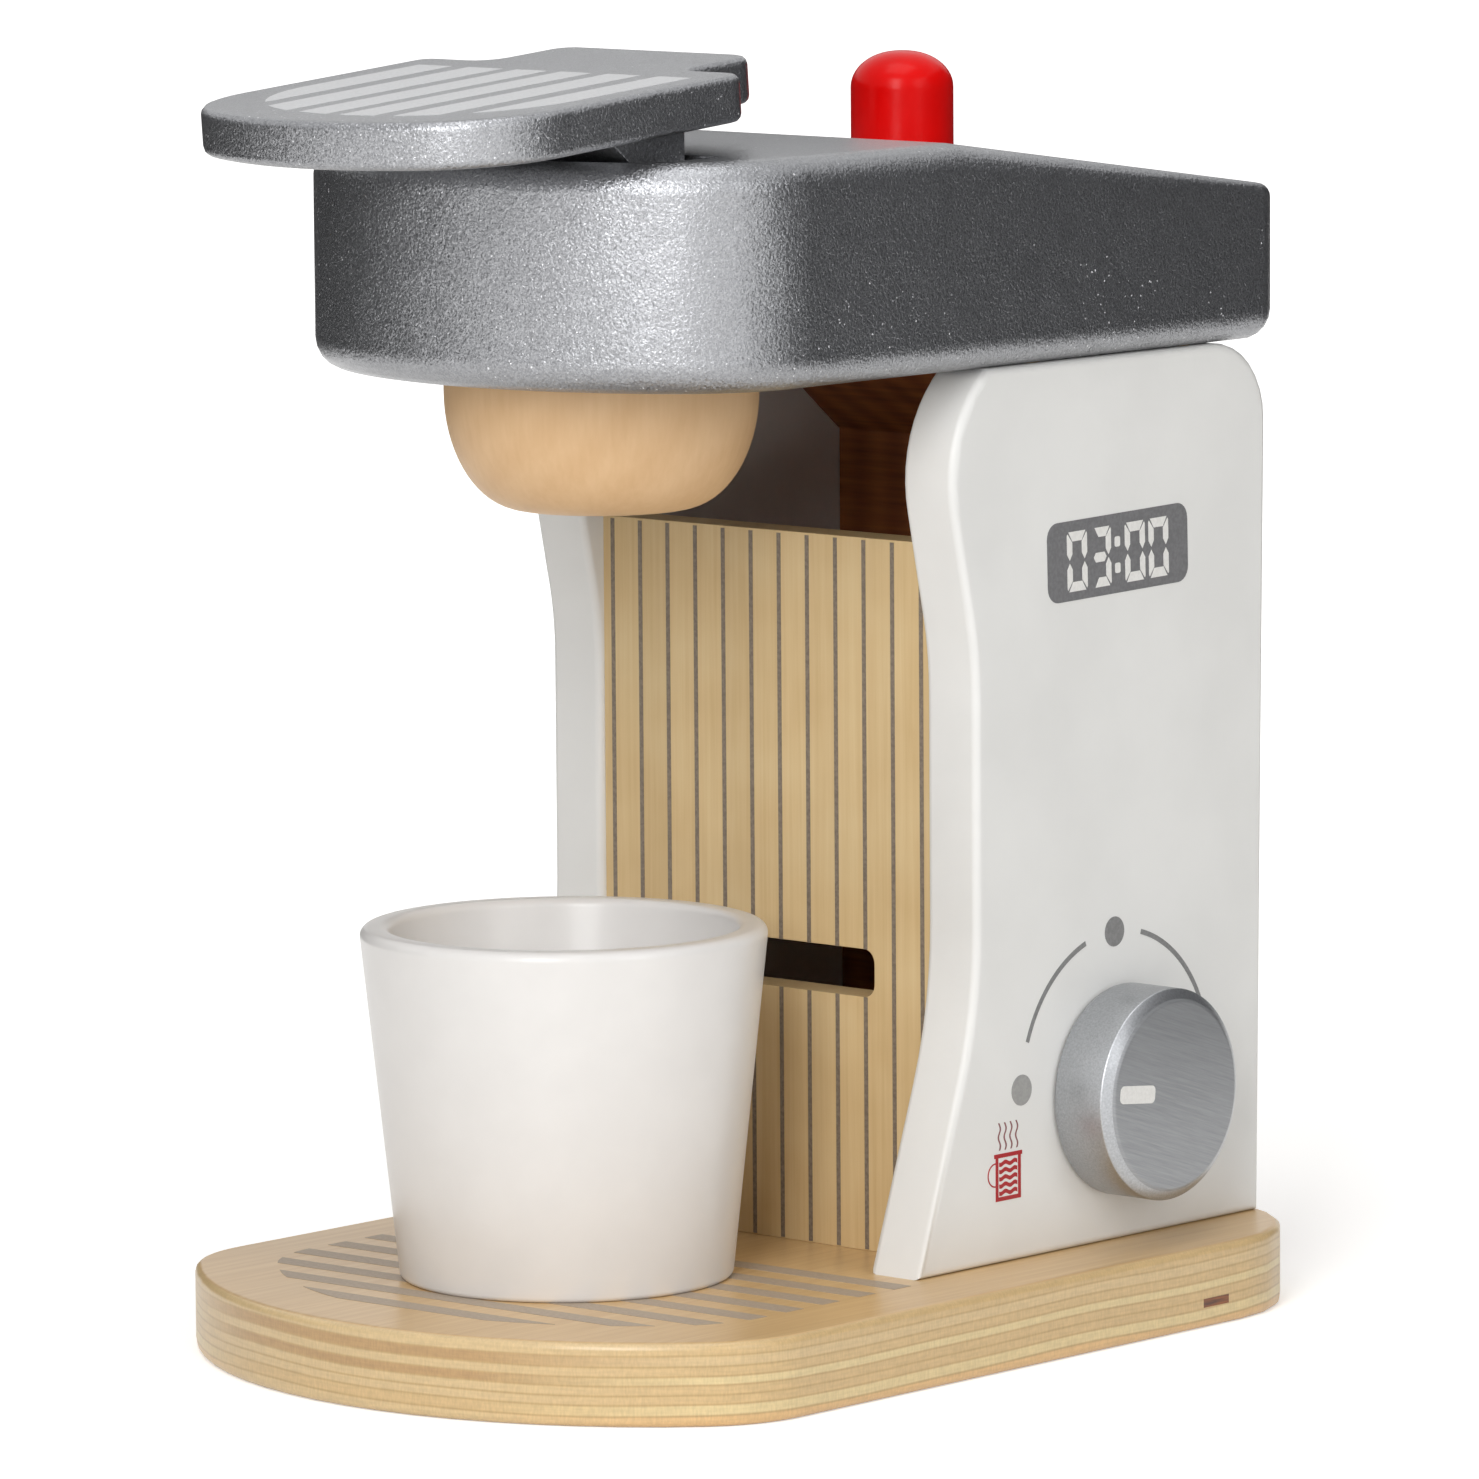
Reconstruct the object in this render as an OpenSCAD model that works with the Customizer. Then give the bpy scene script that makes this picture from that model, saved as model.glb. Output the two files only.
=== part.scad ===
// Wooden toy coffee maker: a plywood base, two shaped side panels, a painted head block with a
// rocking lid, a spring button, a turned spout, a rotating dial and a loose cup.
// Millimetres, +Z up, front towards -Y. Origin: middle of the underside of the base board.

/* [Base board] */
// Width of the base board
base_w = 110.4; // [104:0.2:118]
// Length of the base board, front to back
base_len = 157; // [152:1:168]
// Thickness of the base board
base_t = 12; // [9:1:15]
// Radius of the shallow bow across the front of the base
base_bow_r = 69; // [62:1:84]
// Radius of the front corners of the base
base_corner_r = 20; // [14:1:22]
// Radius of the rear corners of the base
base_rear_r = 24.5; // [16:0.5:28]

/* [Housing] */
// Outer width of the housing, over both side panels
housing_w = 82.5; // [80:0.5:86]
// Thickness of each side panel
side_t = 9.6; // [8:0.1:11]
// Height of the underside of the head block above the table
head_z = 141.5; // [138:0.5:146]
// Narrowest front line of the side panels
side_waist_y = 10.6; // [9:0.1:12]
// Radius of the upper hollow in the front edge of a side panel
side_hollow_r = 50; // [40:1:60]
// Radius of the lower hollow, above the foot
foot_hollow_r = 70; // [60:1:80]
// Radius of the nose at the top of the front edge
side_nose_r = 20; // [18:0.5:22]
// Thickness of the front and back panels
panel_t = 6; // [4:0.5:8]
// Height of the top edge of the front panel
front_panel_top = 116.1; // [108:0.1:120]
// Width of the slot in the front panel
slot_w = 41.4; // [30:0.1:50]
// Height of the slot in the front panel
slot_h = 7; // [5:0.5:10]
// Height of the middle of the slot
slot_z = 52.7; // [45:0.1:60]

/* [Head block] */
// Width of the head block
head_w = 87; // [85:1:92]
// Foremost point of the head block
head_front_y = -56.5; // [-60:0.5:-52]
// Rear face of the head block
head_rear_y = 78; // [76:0.5:80]
// Height of the flat top of the head block
head_top = 174; // [172:0.1:178]
// Where the flat top turns down towards the rear
head_ridge_y = 7; // [0:1:12]
// Slope of the rear part of the top, in degrees
head_slope = 8; // [5:0.5:10]
// Rounding of the long edges of the head block
head_round = 4.6; // [2:0.2:5]

/* [Lid] */
// Width of the lid plate
lid_w = 62; // [58:1:64]
// Length of the broad part of the lid plate
lid_len = 59.5; // [56:0.5:62]
// Thickness of the lid plate
lid_t = 6.8; // [6:0.2:7.2]
// Slope of the closed lid, in degrees
lid_tilt = 4.6; // [3:0.2:6]
// Width of the press tab behind the lid
tab_w = 37.4; // [30:0.2:42]
// Length of the press tab
tab_len = 16.2; // [12:0.1:17]

/* [Spout and cup] */
// Radius of the turned spout
spout_r = 22.5; // [20:0.5:24]
// Height of the turned spout
spout_h = 19.4; // [16:0.2:22]
// Distance of the spout axis in front of the origin
spout_y = -23; // [-26:0.5:-20]
// Height of the cup
cup_h = 50.8; // [44:0.1:54]
// Outer radius of the cup at the rim
cup_rim_r = 29.2; // [26:0.1:30]
// Outer radius of the cup at the foot
cup_foot_r = 24; // [21:0.1:25]
// Wall of the cup
cup_wall = 4.3; // [3:0.1:6]

/* [Controls] */
// Radius of the dial knob
knob_r = 15.5; // [13:0.1:17]
// Thickness of the dial knob
knob_t = 10.1; // [9:0.1:12]
// Radius of the push button
button_r = 7.55; // [6:0.05:8]
// Distance that the push button travels
button_travel = 5; // [3:0.5:6]

/* [Hidden] */

// Resolution of the true round parts, and the play of glued and of running fits
$fn = 64;
glue_gap = 0.03;
run_gap = 0.08;
// Free distance between surfaces that move past each other, and at the blind end of a hole
air = 0.3;
end_gap = 0.5;
// Distance that a cutting shape runs past the face that it opens
over = 1;

// Base
base_front_y = -base_len / 2;
base_rear_y = base_len / 2;
base_round = 1.2;

// Side panels: profile in the YZ plane, seen from the right side
side_round = 1.2;
side_inner_x = housing_w / 2 - side_t;
side_mid_x = (housing_w - side_t) / 2;
side_foot_y = -2.3;
side_rear_foot_y = 74.9;
side_rear_top_y = 76.7;
side_rear_r = 11.5;
foot_lean = 19;
nose_lean = 14;
foot_hollow_z = 61.5;
nose_hollow_z = 95;
nose_z = 125.5;
nose_y = 25.6;

// Front and back panels and the corner block
front_panel_y = 11.7;
back_panel_y = 64.4;
corner_block_y = 43.6;
corner_block_drop = 16.7;

// Head block: bow and corners, and what is cut into it
head_bow_r = 60;
head_corner_r = 24;
head_rear_r = 5;
head_rise = tan(head_slope);

// Lid hinge: pin axis, rocking block and the pocket that it stands in
pin_r = 2;
pin_y = -40;
pin_z = 167;
pin_half_len = 37;
plug_r = 3;
block_w = 52.8;
block_heel_r = 5.9;
block_rear_y = pin_y + block_heel_r;
block_front_y = -45.2;
block_nose_y = -50;
block_nose_z = 177.3;
block_chin_z = 173.2;
block_top_z = 182;
pocket_w = 64;
pocket_wall = 3.4;
pocket_rear_y = -32.6;
stop_gap = 0.1;
pocket_floor_z = pin_z - block_heel_r - stop_gap;

// Lid plate: its own frame starts at the top of the rear edge of the broad part
lid_rear_y = -26;
lid_rear_z = 185.4;
lid_bow_r = 52;
lid_corner_r = 18.5;
lid_round = 1.2;
lid_rear_corner_r = 3;
tab_corner_r = 4;
tab_root_r = 3;
lid_dowel_x = 17;
lid_dowel_y = pin_y;
lid_dowel_z0 = pin_z + pin_r + 1.5;
lid_dowel_z1 = 181;

// Push button in its bore, with the spring below it and the screw that retains it
button_y = 42.8;
button_top_z = 184;
button_foot_z = 163;
button_crown_r = 7;
button_crown_h = 5.3;
washer_r = 4.2;
washer_t = 1;
screw_shank_r = 1.5;
screw_head_r = 3;
screw_head_h = 2.3;
screw_grip = 9;
screw_play = 0.6;
stop_bore_r = 5;
stop_space = 0.7;
web_t = 3;
web_z0 = head_z + stop_space + button_travel + screw_head_h + washer_t;
web_z1 = web_z0 + web_t;
spring_r = 4.6;
spring_wire_r = 0.45;
spring_turns = 4;

// Dial knob on its axle, through the right side panel
knob_y = 42.6;
knob_z = 34.3;
knob_x = housing_w / 2 + air;
knob_bevel_w = 1.9;
knob_bevel_h = 1.3;
axle_r = 4;
axle_in_knob = 8;
axle_tail = 1;
collar_r = 9;
collar_t = 5;
collar_washer_r = 8;
collar_washer_t = 1;
collar_x = side_inner_x - air - collar_washer_t - collar_t;

// Dowels and screws
dowel_r = 3;
head_dowel_spots = [[side_mid_x, 26], [side_mid_x, 60], [-side_mid_x, 26], [-side_mid_x, 60]];
head_dowel_depth = 11;
base_screw_spots = [[side_mid_x, 14], [side_mid_x, 62], [-side_mid_x, 14], [-side_mid_x, 62]];
base_screw_r = 1.75;
base_screw_head_r = 3.6;
base_screw_head_h = 2.5;
base_screw_len = 30;
base_screw_sink = 0.6;
spout_dowel_r = 4;
spout_dowel_depth = 10;

// Cup
cup_y = -30;
cup_x = -1.8;
cup_floor = 8;
cup_lip_r = 1.4;
cup_foot_round = 0.9;
cup_bowl_r = 9;

// ---------------------------------------------------------------- outlines and solids by rule

// Points along an arc about c, from angle a0 to a1
function arc(c, r, a0, a1, steps = 8) =
    [for (i = [0:steps]) let (a = a0 + (a1 - a0) * i / steps) c + r * [cos(a), sin(a)]];

// Where the corner arcs of a bowed front have their centres, and where they meet the bow
function bow_centre_y(hw, front_y, bow_r, corner_r) =
    front_y + bow_r - sqrt(pow(bow_r - corner_r, 2) - pow(hw - corner_r, 2));
function bow_meet(hw, front_y, bow_r, corner_r) =
    atan2(hw - corner_r, front_y + bow_r - bow_centre_y(hw, front_y, bow_r, corner_r));

// The bowed front, from the left side round to the right side, moved in by inset
function bow_front(hw, front_y, bow_r, corner_r, inset = 0) =
    let (cy = bow_centre_y(hw, front_y, bow_r, corner_r),
         meet = bow_meet(hw, front_y, bow_r, corner_r))
    concat(arc([corner_r - hw, cy], corner_r - inset, 180, 270 - meet, 8),
           arc([0, front_y + bow_r], bow_r - inset, 270 - meet, 270 + meet, 18),
           arc([hw - corner_r, cy], corner_r - inset, 270 + meet, 360, 8));

// Outline with a bowed front and two round rear corners
function bow_outline(hw, front_y, rear_y, bow_r, corner_r, rear_r, inset = 0) =
    concat(bow_front(hw, front_y, bow_r, corner_r, inset),
           arc([hw - rear_r, rear_y - rear_r], rear_r - inset, 0, 90, 6),
           arc([rear_r - hw, rear_y - rear_r], rear_r - inset, 90, 180, 6));

// Inset and height of each ring of a plate whose edges are rounded by r
function edge_rings(t, r, steps = 3) =
    concat([for (i = [0:steps]) let (a = 90 * i / steps) [r * (1 - sin(a)), r * (1 - cos(a))]],
           [for (i = [0:steps]) let (a = 90 * i / steps) [r * (1 - cos(a)), t - r * (1 - sin(a))]]);

// Twice the area of the triangle a, b, c: positive where the outline turns left at b
function turn(a, b, c) = (b.x - a.x) * (c.y - a.y) - (b.y - a.y) * (c.x - a.x);

// True if no other corner of the outline lies in the triangle at corner k, which turns left
function is_ear(outline, ids, k) =
    let (n = len(ids), i = ids[(k + n - 1) % n], j = ids[k], l = ids[(k + 1) % n],
         a = outline[i], b = outline[j], c = outline[l])
    turn(a, b, c) > 0 &&
    len([for (q = ids) let (p = outline[q])
            if (q != i && q != j && q != l &&
                turn(a, b, p) >= 0 && turn(b, c, p) >= 0 && turn(c, a, p) >= 0) q]) == 0;

// Triangles that fill an outline with hollow stretches, cut off ear by ear
function fill(outline, ids) =
    len(ids) == 3 ? [ids] :
    let (n = len(ids), k = [for (k = [0:n - 1]) if (is_ear(outline, ids, k)) k][0])
    concat([[ids[(k + n - 1) % n], ids[k], ids[(k + 1) % n]]],
           fill(outline, [for (i = [0:n - 1]) if (i != k) ids[i]]));

// Closed solid through rings of points that all have the same count
module loft(rings) {
    n = len(rings[0]);
    m = len(rings);
    low_cap = fill(rings[0], [for (i = [0:n - 1]) i]);
    high_cap = fill(rings[m - 1], [for (i = [0:n - 1]) i]);
    polyhedron(
        points = [for (ring = rings) each ring],
        faces = concat(
            low_cap,
            [for (k = [0:m - 2], i = [0:n - 1]) let (j = (i + 1) % n)
                [k * n + i, (k + 1) * n + i, (k + 1) * n + j]],
            [for (k = [0:m - 2], i = [0:n - 1]) let (j = (i + 1) % n)
                [k * n + i, (k + 1) * n + j, k * n + j]],
            [for (t = high_cap) [for (i = [2:-1:0]) (m - 1) * n + t[i]]]),
        convexity = 8);
}

// Plate of thickness t with rounded edges; outline is a function of the inset
module rounded_plate(outline, t, r)
    loft([for (level = edge_rings(t, r)) [for (p = outline(level[0])) [p.x, p.y, level[1]]]]);

// Round bar or hole along X
module bar_x(r, x0, x1, y, z)
    translate([x0, y, z]) rotate([0, 90, 0]) cylinder(r = r, h = x1 - x0);

// Upright bar or hole
module bar_z(r, x, y, z0, z1)
    translate([x, y, z0]) cylinder(r = r, h = z1 - z0);

// Cone under the head of a base screw, or of its seat when there is a gap
module screw_cone(spot, gap)
    translate([spot.x, spot.y, base_screw_sink])
        cylinder(r1 = base_screw_head_r + gap, r2 = base_screw_r + gap, h = base_screw_head_h);

// ---------------------------------------------------------------- base and housing

module base_board() {
    outline = function (inset) bow_outline(base_w / 2, base_front_y, base_rear_y,
                                           base_bow_r, base_corner_r, base_rear_r, inset);
    color("burlywood")
    difference() {
        rounded_plate(outline, base_t, base_round);
        for (spot = base_screw_spots) {
            bar_z(base_screw_r + glue_gap, spot.x, spot.y, -over, base_t + over);
            bar_z(base_screw_head_r + glue_gap, spot.x, spot.y, -over, base_screw_sink);
            screw_cone(spot, glue_gap);
        }
    }
}

// Side panel profile in (y, z): leaning foot, waist, nose cut off by the head, round rear top
function side_profile(inset) =
    let (nose_hollow = side_hollow_r + inset,
         foot_hollow = foot_hollow_r + inset,
         nose = side_nose_r - inset,
         rear = side_rear_r - inset,
         nose_cut = 180 - asin((head_z - inset - nose_z) / nose),
         lean = atan((side_rear_top_y - side_rear_foot_y) / (head_z - base_t)))
    concat(
        [[side_rear_foot_y - inset, base_t + inset]],
        arc([side_rear_top_y - side_rear_r, head_z - side_rear_r], rear, -lean, 90, 8),
        arc([nose_y, nose_z], nose, nose_cut, 180 + nose_lean, 10),
        arc([side_waist_y - side_hollow_r, nose_hollow_z], nose_hollow, nose_lean, 0, 6),
        arc([side_waist_y - foot_hollow_r, foot_hollow_z], foot_hollow, 0, -foot_lean, 6),
        [[side_foot_y + inset, base_t + inset]]);

// One side panel between x0 and x0 + side_t, with its dowel and screw holes
module side_panel(x0) {
    difference() {
        translate([x0, 0, 0]) rotate([90, 0, 90])
            rounded_plate(function (inset) side_profile(inset), side_t, side_round);
        for (spot = head_dowel_spots)
            if (spot.x > x0 && spot.x < x0 + side_t)
                bar_z(dowel_r + glue_gap, spot.x, spot.y,
                      head_z - head_dowel_depth - end_gap, head_z + over);
        for (spot = base_screw_spots)
            if (spot.x > x0 && spot.x < x0 + side_t)
                bar_z(base_screw_r + glue_gap, spot.x, spot.y,
                      base_t - over, base_screw_sink + base_screw_len + end_gap);
    }
}

module left_side_panel() {
    color("whitesmoke") side_panel(-housing_w / 2);
}

module right_side_panel() {
    color("whitesmoke")
    difference() {
        side_panel(side_inner_x);
        bar_x(axle_r + run_gap, side_inner_x - over, housing_w / 2 + over, knob_y, knob_z);
    }
}

// Board between the side panels, standing on the base, its front face at y
module cross_board(y, top_z)
    translate([-side_inner_x, y, base_t]) cube([2 * side_inner_x, panel_t, top_z - base_t]);

module front_panel() {
    slot_r = 2;
    color("wheat")
    difference() {
        cross_board(front_panel_y, front_panel_top);
        translate([0, front_panel_y + panel_t + over, slot_z]) rotate([90, 0, 0])
        linear_extrude(panel_t + 2 * over) {
            square([slot_w - 2 * slot_r, slot_h], center = true);
            square([slot_w, slot_h - 2 * slot_r], center = true);
            for (sx = [-1, 1], sz = [-1, 1])
                translate([sx * (slot_w / 2 - slot_r), sz * (slot_h / 2 - slot_r)])
                    circle(slot_r);
        }
    }
}

module back_panel() {
    color("saddlebrown") cross_board(back_panel_y, head_z);
}

// Slanted glue block in the corner of the back panel and the head
module corner_block() {
    color("saddlebrown")
    translate([-side_inner_x, 0, 0]) rotate([90, 0, 90])
    linear_extrude(2 * side_inner_x)
        polygon([[corner_block_y, head_z], [back_panel_y, head_z - corner_block_drop],
                 [back_panel_y, head_z]]);
}

// ---------------------------------------------------------------- head block

// Height of the top surface: flat in front of the ridge, sloping behind it
function head_surface(y) = head_top - max(0, y - head_ridge_y) * head_rise;

// Head outline with one extra point on each side, where the ridge crosses
function head_outline(inset) =
    concat(bow_front(head_w / 2, head_front_y, head_bow_r, head_corner_r, inset),
           [[head_w / 2 - inset, head_ridge_y]],
           arc([head_w / 2 - head_rear_r, head_rear_y - head_rear_r], head_rear_r - inset, 0, 90, 6),
           arc([head_rear_r - head_w / 2, head_rear_y - head_rear_r], head_rear_r - inset,
               90, 180, 6),
           [[inset - head_w / 2, head_ridge_y]]);

// Solid head: rounded below and above, with a crease across the top at the ridge
module head_solid() {
    steps = 5;
    low = [for (i = [0:steps]) let (a = 90 * i / steps)
              [for (p = head_outline(head_round * (1 - sin(a))))
                  [p.x, p.y, head_z + head_round * (1 - cos(a))]]];
    high = [for (i = [0:steps]) let (a = 90 * i / steps)
               [for (p = head_outline(head_round * (1 - cos(a))))
                   [p.x, p.y, head_surface(p.y) - head_round * (1 - sin(a))]]];
    hull() loft(concat(low, high));
}

// Pocket for the rocking lid block; its front wall follows the bow of the head
module hinge_pocket() {
    depth = head_top - pocket_floor_z + over;
    intersection() {
        translate([-pocket_w / 2, head_front_y, pocket_floor_z])
            cube([pocket_w, pocket_rear_y - head_front_y, depth]);
        translate([0, head_front_y + head_bow_r, pocket_floor_z])
            cylinder(r = head_bow_r - pocket_wall, h = depth);
    }
}

module head_block() {
    color("darkgray")
    difference() {
        head_solid();
        hinge_pocket();
        bar_x(pin_r + glue_gap, -pin_half_len, pin_half_len, pin_y, pin_z);
        bar_x(plug_r + glue_gap, -head_w, -pin_half_len, pin_y, pin_z);
        bar_z(button_r + run_gap, 0, button_y, web_z1, head_top + over);
        bar_z(screw_shank_r + screw_play, 0, button_y, web_z0 - over, web_z1 + over);
        bar_z(stop_bore_r, 0, button_y, head_z - over, web_z0);
        bar_z(spout_dowel_r + glue_gap, 0, spout_y, head_z - over,
              head_z + spout_dowel_depth + end_gap);
        for (spot = head_dowel_spots)
            bar_z(dowel_r + glue_gap, spot.x, spot.y, head_z - over,
                  head_z + head_dowel_depth + end_gap);
    }
}

module head_dowels() {
    color("tan")
    for (spot = head_dowel_spots)
        bar_z(dowel_r, spot.x, spot.y, head_z - head_dowel_depth, head_z + head_dowel_depth);
}

// Countersunk wood screws from below, two into each side panel
module base_screws() {
    color("silver")
    for (spot = base_screw_spots) {
        screw_cone(spot, 0);
        bar_z(base_screw_r, spot.x, spot.y, base_screw_sink, base_screw_sink + base_screw_len);
    }
}

// ---------------------------------------------------------------- spout

// Turned dome: straight side above an elliptical shoulder and a flat underside
module spout_dome() {
    flat_r = 11.5;
    shoulder_h = 16.9;
    steps = 14;
    z0 = head_z - spout_h;
    side = [for (i = [0:steps]) let (a = 90 * i / steps)
               [flat_r + (spout_r - flat_r) * sin(a), z0 + shoulder_h * (1 - cos(a))]];
    color("burlywood")
    difference() {
        translate([0, spout_y, 0]) rotate_extrude()
            polygon(concat([[0, z0]], side, [[spout_r, head_z], [0, head_z]]));
        bar_z(spout_dowel_r + glue_gap, 0, spout_y,
              head_z - spout_dowel_depth - end_gap, head_z + over);
    }
}

module spout_dowel() {
    color("tan")
    bar_z(spout_dowel_r, 0, spout_y, head_z - spout_dowel_depth, head_z + spout_dowel_depth);
}

// ---------------------------------------------------------------- lid and its hinge

// From the lid's own frame to its closed place
module lid_place()
    translate([0, lid_rear_y, lid_rear_z]) rotate([lid_tilt, 0, 0]) children();

// Lid outline: bowed front, round rear corners and the narrower tab with filleted roots
function lid_outline(inset) =
    concat(
        bow_front(lid_w / 2, -lid_len, lid_bow_r, lid_corner_r, inset),
        arc([lid_w / 2 - lid_rear_corner_r, -lid_rear_corner_r], lid_rear_corner_r - inset, 0, 90, 4),
        arc([tab_w / 2 + tab_root_r, tab_root_r], tab_root_r + inset, 270, 180, 4),
        arc([tab_w / 2 - tab_corner_r, tab_len - tab_corner_r], tab_corner_r - inset, 0, 90, 5),
        arc([tab_corner_r - tab_w / 2, tab_len - tab_corner_r], tab_corner_r - inset, 90, 180, 5),
        arc([-tab_w / 2 - tab_root_r, tab_root_r], tab_root_r + inset, 0, -90, 4),
        arc([lid_rear_corner_r - lid_w / 2, -lid_rear_corner_r], lid_rear_corner_r - inset,
            90, 180, 4));

module lid_plate() {
    color("silver")
    difference() {
        lid_place() translate([0, 0, -lid_t])
            rounded_plate(function (inset) lid_outline(inset), lid_t, lid_round);
        lid_dowel_bars(dowel_r + glue_gap, end_gap);
    }
}

// Two upright dowels that tie the lid plate to its block; extra lengthens them for the holes
module lid_dowel_bars(r, extra) {
    for (sx = [-1, 1])
        bar_z(r, sx * lid_dowel_x, lid_dowel_y, lid_dowel_z0 - extra, lid_dowel_z1 + extra);
}

module lid_dowels() {
    color("tan") lid_dowel_bars(dowel_r, 0);
}

// Side view of the rocking block in (y, z): heel about the pin, flat toe, undercut nose
module block_profile() {
    polygon(concat(
        arc([pin_y, pin_z], block_heel_r, 0, -90, 10),
        [[block_front_y, pin_z - block_heel_r], [block_front_y, block_chin_z],
         [block_nose_y, block_nose_z], [block_nose_y, block_top_z],
         [block_rear_y, block_top_z]]));
}

module lid_hinge_block() {
    color("dimgray")
    difference() {
        intersection() {
            translate([-block_w / 2, 0, 0]) rotate([90, 0, 90])
                linear_extrude(block_w) block_profile();
            lid_place() translate([-lid_w, -lid_len, -2 * lid_len])
                cube([2 * lid_w, 2 * lid_len, 2 * lid_len - lid_t]);
        }
        bar_x(pin_r + run_gap, -lid_w, lid_w, pin_y, pin_z);
        lid_dowel_bars(dowel_r + glue_gap, end_gap);
    }
}

module hinge_pin() {
    color("silver") bar_x(pin_r, air - pin_half_len, pin_half_len - air, pin_y, pin_z);
}

// Plug that closes the pin hole, trimmed flush with the left flank of the head
module pin_plug() {
    color("darkgray")
    intersection() {
        head_solid();
        bar_x(plug_r, -head_w, -pin_half_len, pin_y, pin_z);
    }
}

// ---------------------------------------------------------------- push button

module push_button() {
    steps = 8;
    crown = [for (i = [0:steps]) let (a = 90 * i / steps)
                [button_r - button_crown_r * (1 - cos(a)),
                 button_top_z - button_crown_h * (1 - sin(a))]];
    color("red")
    difference() {
        translate([0, button_y, 0]) rotate_extrude()
            polygon(concat([[0, button_foot_z], [button_r, button_foot_z]], crown,
                           [[0, button_top_z]]));
        bar_z(screw_shank_r + glue_gap, 0, button_y, button_foot_z - over,
              button_foot_z + screw_grip + end_gap);
    }
}

// Screw that holds the button down against the web of the head block
module button_screw() {
    foot_z = web_z0 - washer_t - screw_head_h;
    color("silver") {
        bar_z(screw_shank_r, 0, button_y, foot_z, button_foot_z + screw_grip);
        bar_z(screw_head_r, 0, button_y, foot_z, foot_z + screw_head_h);
    }
}

module button_washer() {
    color("silver")
    difference() {
        bar_z(washer_r, 0, button_y, web_z0 - washer_t, web_z0);
        bar_z(screw_shank_r + glue_gap, 0, button_y, web_z0 - washer_t - over, web_z0 + over);
    }
}

// Coil spring as a round wire swept along a helix
module button_spring() {
    per_turn = 16;
    sides = 8;
    rings = spring_turns * per_turn;
    z0 = web_z1 + spring_wire_r;
    rise = button_foot_z - web_z1 - 2 * spring_wire_r;
    points = [for (i = [0:rings], s = [0:sides - 1])
                 let (a = 360 * i / per_turn, w = 360 * s / sides,
                      r = spring_r + spring_wire_r * cos(w))
                 [r * cos(a), button_y + r * sin(a),
                  z0 + rise * i / rings + spring_wire_r * sin(w)]];
    color("silver")
    polyhedron(points = points, convexity = 10, faces = concat(
        [[for (s = [0:sides - 1]) s]],
        [for (i = [0:rings - 1], s = [0:sides - 1]) let (t = (s + 1) % sides)
            [i * sides + s, (i + 1) * sides + s, (i + 1) * sides + t]],
        [for (i = [0:rings - 1], s = [0:sides - 1]) let (t = (s + 1) % sides)
            [i * sides + s, (i + 1) * sides + t, i * sides + t]],
        [[for (s = [sides - 1:-1:0]) rings * sides + s]]));
}

// ---------------------------------------------------------------- dial knob

// Turned about the X axis through the knob centre; z of the profile becomes +X
module on_knob_axis()
    translate([0, knob_y, knob_z]) rotate([0, 90, 0]) children();

module dial_knob() {
    x1 = knob_x + knob_t;
    color("silver")
    difference() {
        on_knob_axis() rotate_extrude()
            polygon([[0, knob_x], [knob_r, knob_x], [knob_r, x1 - knob_bevel_h],
                     [knob_r - knob_bevel_w, x1], [0, x1]]);
        bar_x(axle_r + glue_gap, knob_x - over, knob_x + axle_in_knob + end_gap, knob_y, knob_z);
    }
}

module knob_axle() {
    color("tan") bar_x(axle_r, collar_x - axle_tail, knob_x + axle_in_knob, knob_y, knob_z);
}

// Flat ring on the axle, from x0, with its thickness t and outer radius r
module axle_ring(r, x0, t)
    difference() {
        bar_x(r, x0, x0 + t, knob_y, knob_z);
        bar_x(axle_r + glue_gap, x0 - over, x0 + t + over, knob_y, knob_z);
    }

module knob_washer() {
    color("white") axle_ring(collar_washer_r, collar_x + collar_t, collar_washer_t);
}

module knob_collar() {
    color("tan") axle_ring(collar_r, collar_x, collar_t);
}

// ---------------------------------------------------------------- cup

// Turned cup: flared wall, round lip, hollow with a rounded bottom
module cup() {
    lean = atan((cup_rim_r - cup_foot_r) / cup_h);
    inner_rim_r = cup_rim_r - cup_wall;
    inner_foot_r = cup_foot_r - cup_wall;
    color("whitesmoke")
    translate([cup_x, cup_y, base_t])
    rotate_extrude()
        polygon(concat(
            [[0, 0]],
            arc([cup_foot_r - cup_foot_round, cup_foot_round], cup_foot_round, 270, 360 - lean, 5),
            arc([cup_rim_r - cup_lip_r, cup_h - cup_lip_r], cup_lip_r, -lean, 90, 6),
            arc([inner_rim_r + cup_lip_r, cup_h - cup_lip_r], cup_lip_r, 90, 180 - lean, 6),
            arc([inner_foot_r - cup_bowl_r, cup_floor + cup_bowl_r], cup_bowl_r, -lean, -90, 8),
            [[0, cup_floor]]));
}

base_board();
left_side_panel();
right_side_panel();
front_panel();
back_panel();
corner_block();
head_block();
head_dowels();
base_screws();
hinge_pin();
pin_plug();
spout_dome();
spout_dowel();
button_spring();
lid_plate();
lid_hinge_block();
lid_dowels();
push_button();
button_screw();
button_washer();
dial_knob();
knob_axle();
knob_washer();
knob_collar();
cup();
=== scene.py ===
# %% [markdown]
# # A wooden toy coffee maker
# The toy is a plywood board that carries two painted side panels, a slotted birch panel, a
# silver painted head with a rocking lid and a red button, a turned spout, a silver dial and a
# loose cup. The solid model of it is the fixed frame of this lesson: every piece that is made
# here sits on that frame, in metres, and rides on one of its moving bodies.

# %% Load the solid model and keep its box
import math

import bpy
from mathutils import Matrix, Vector


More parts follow.
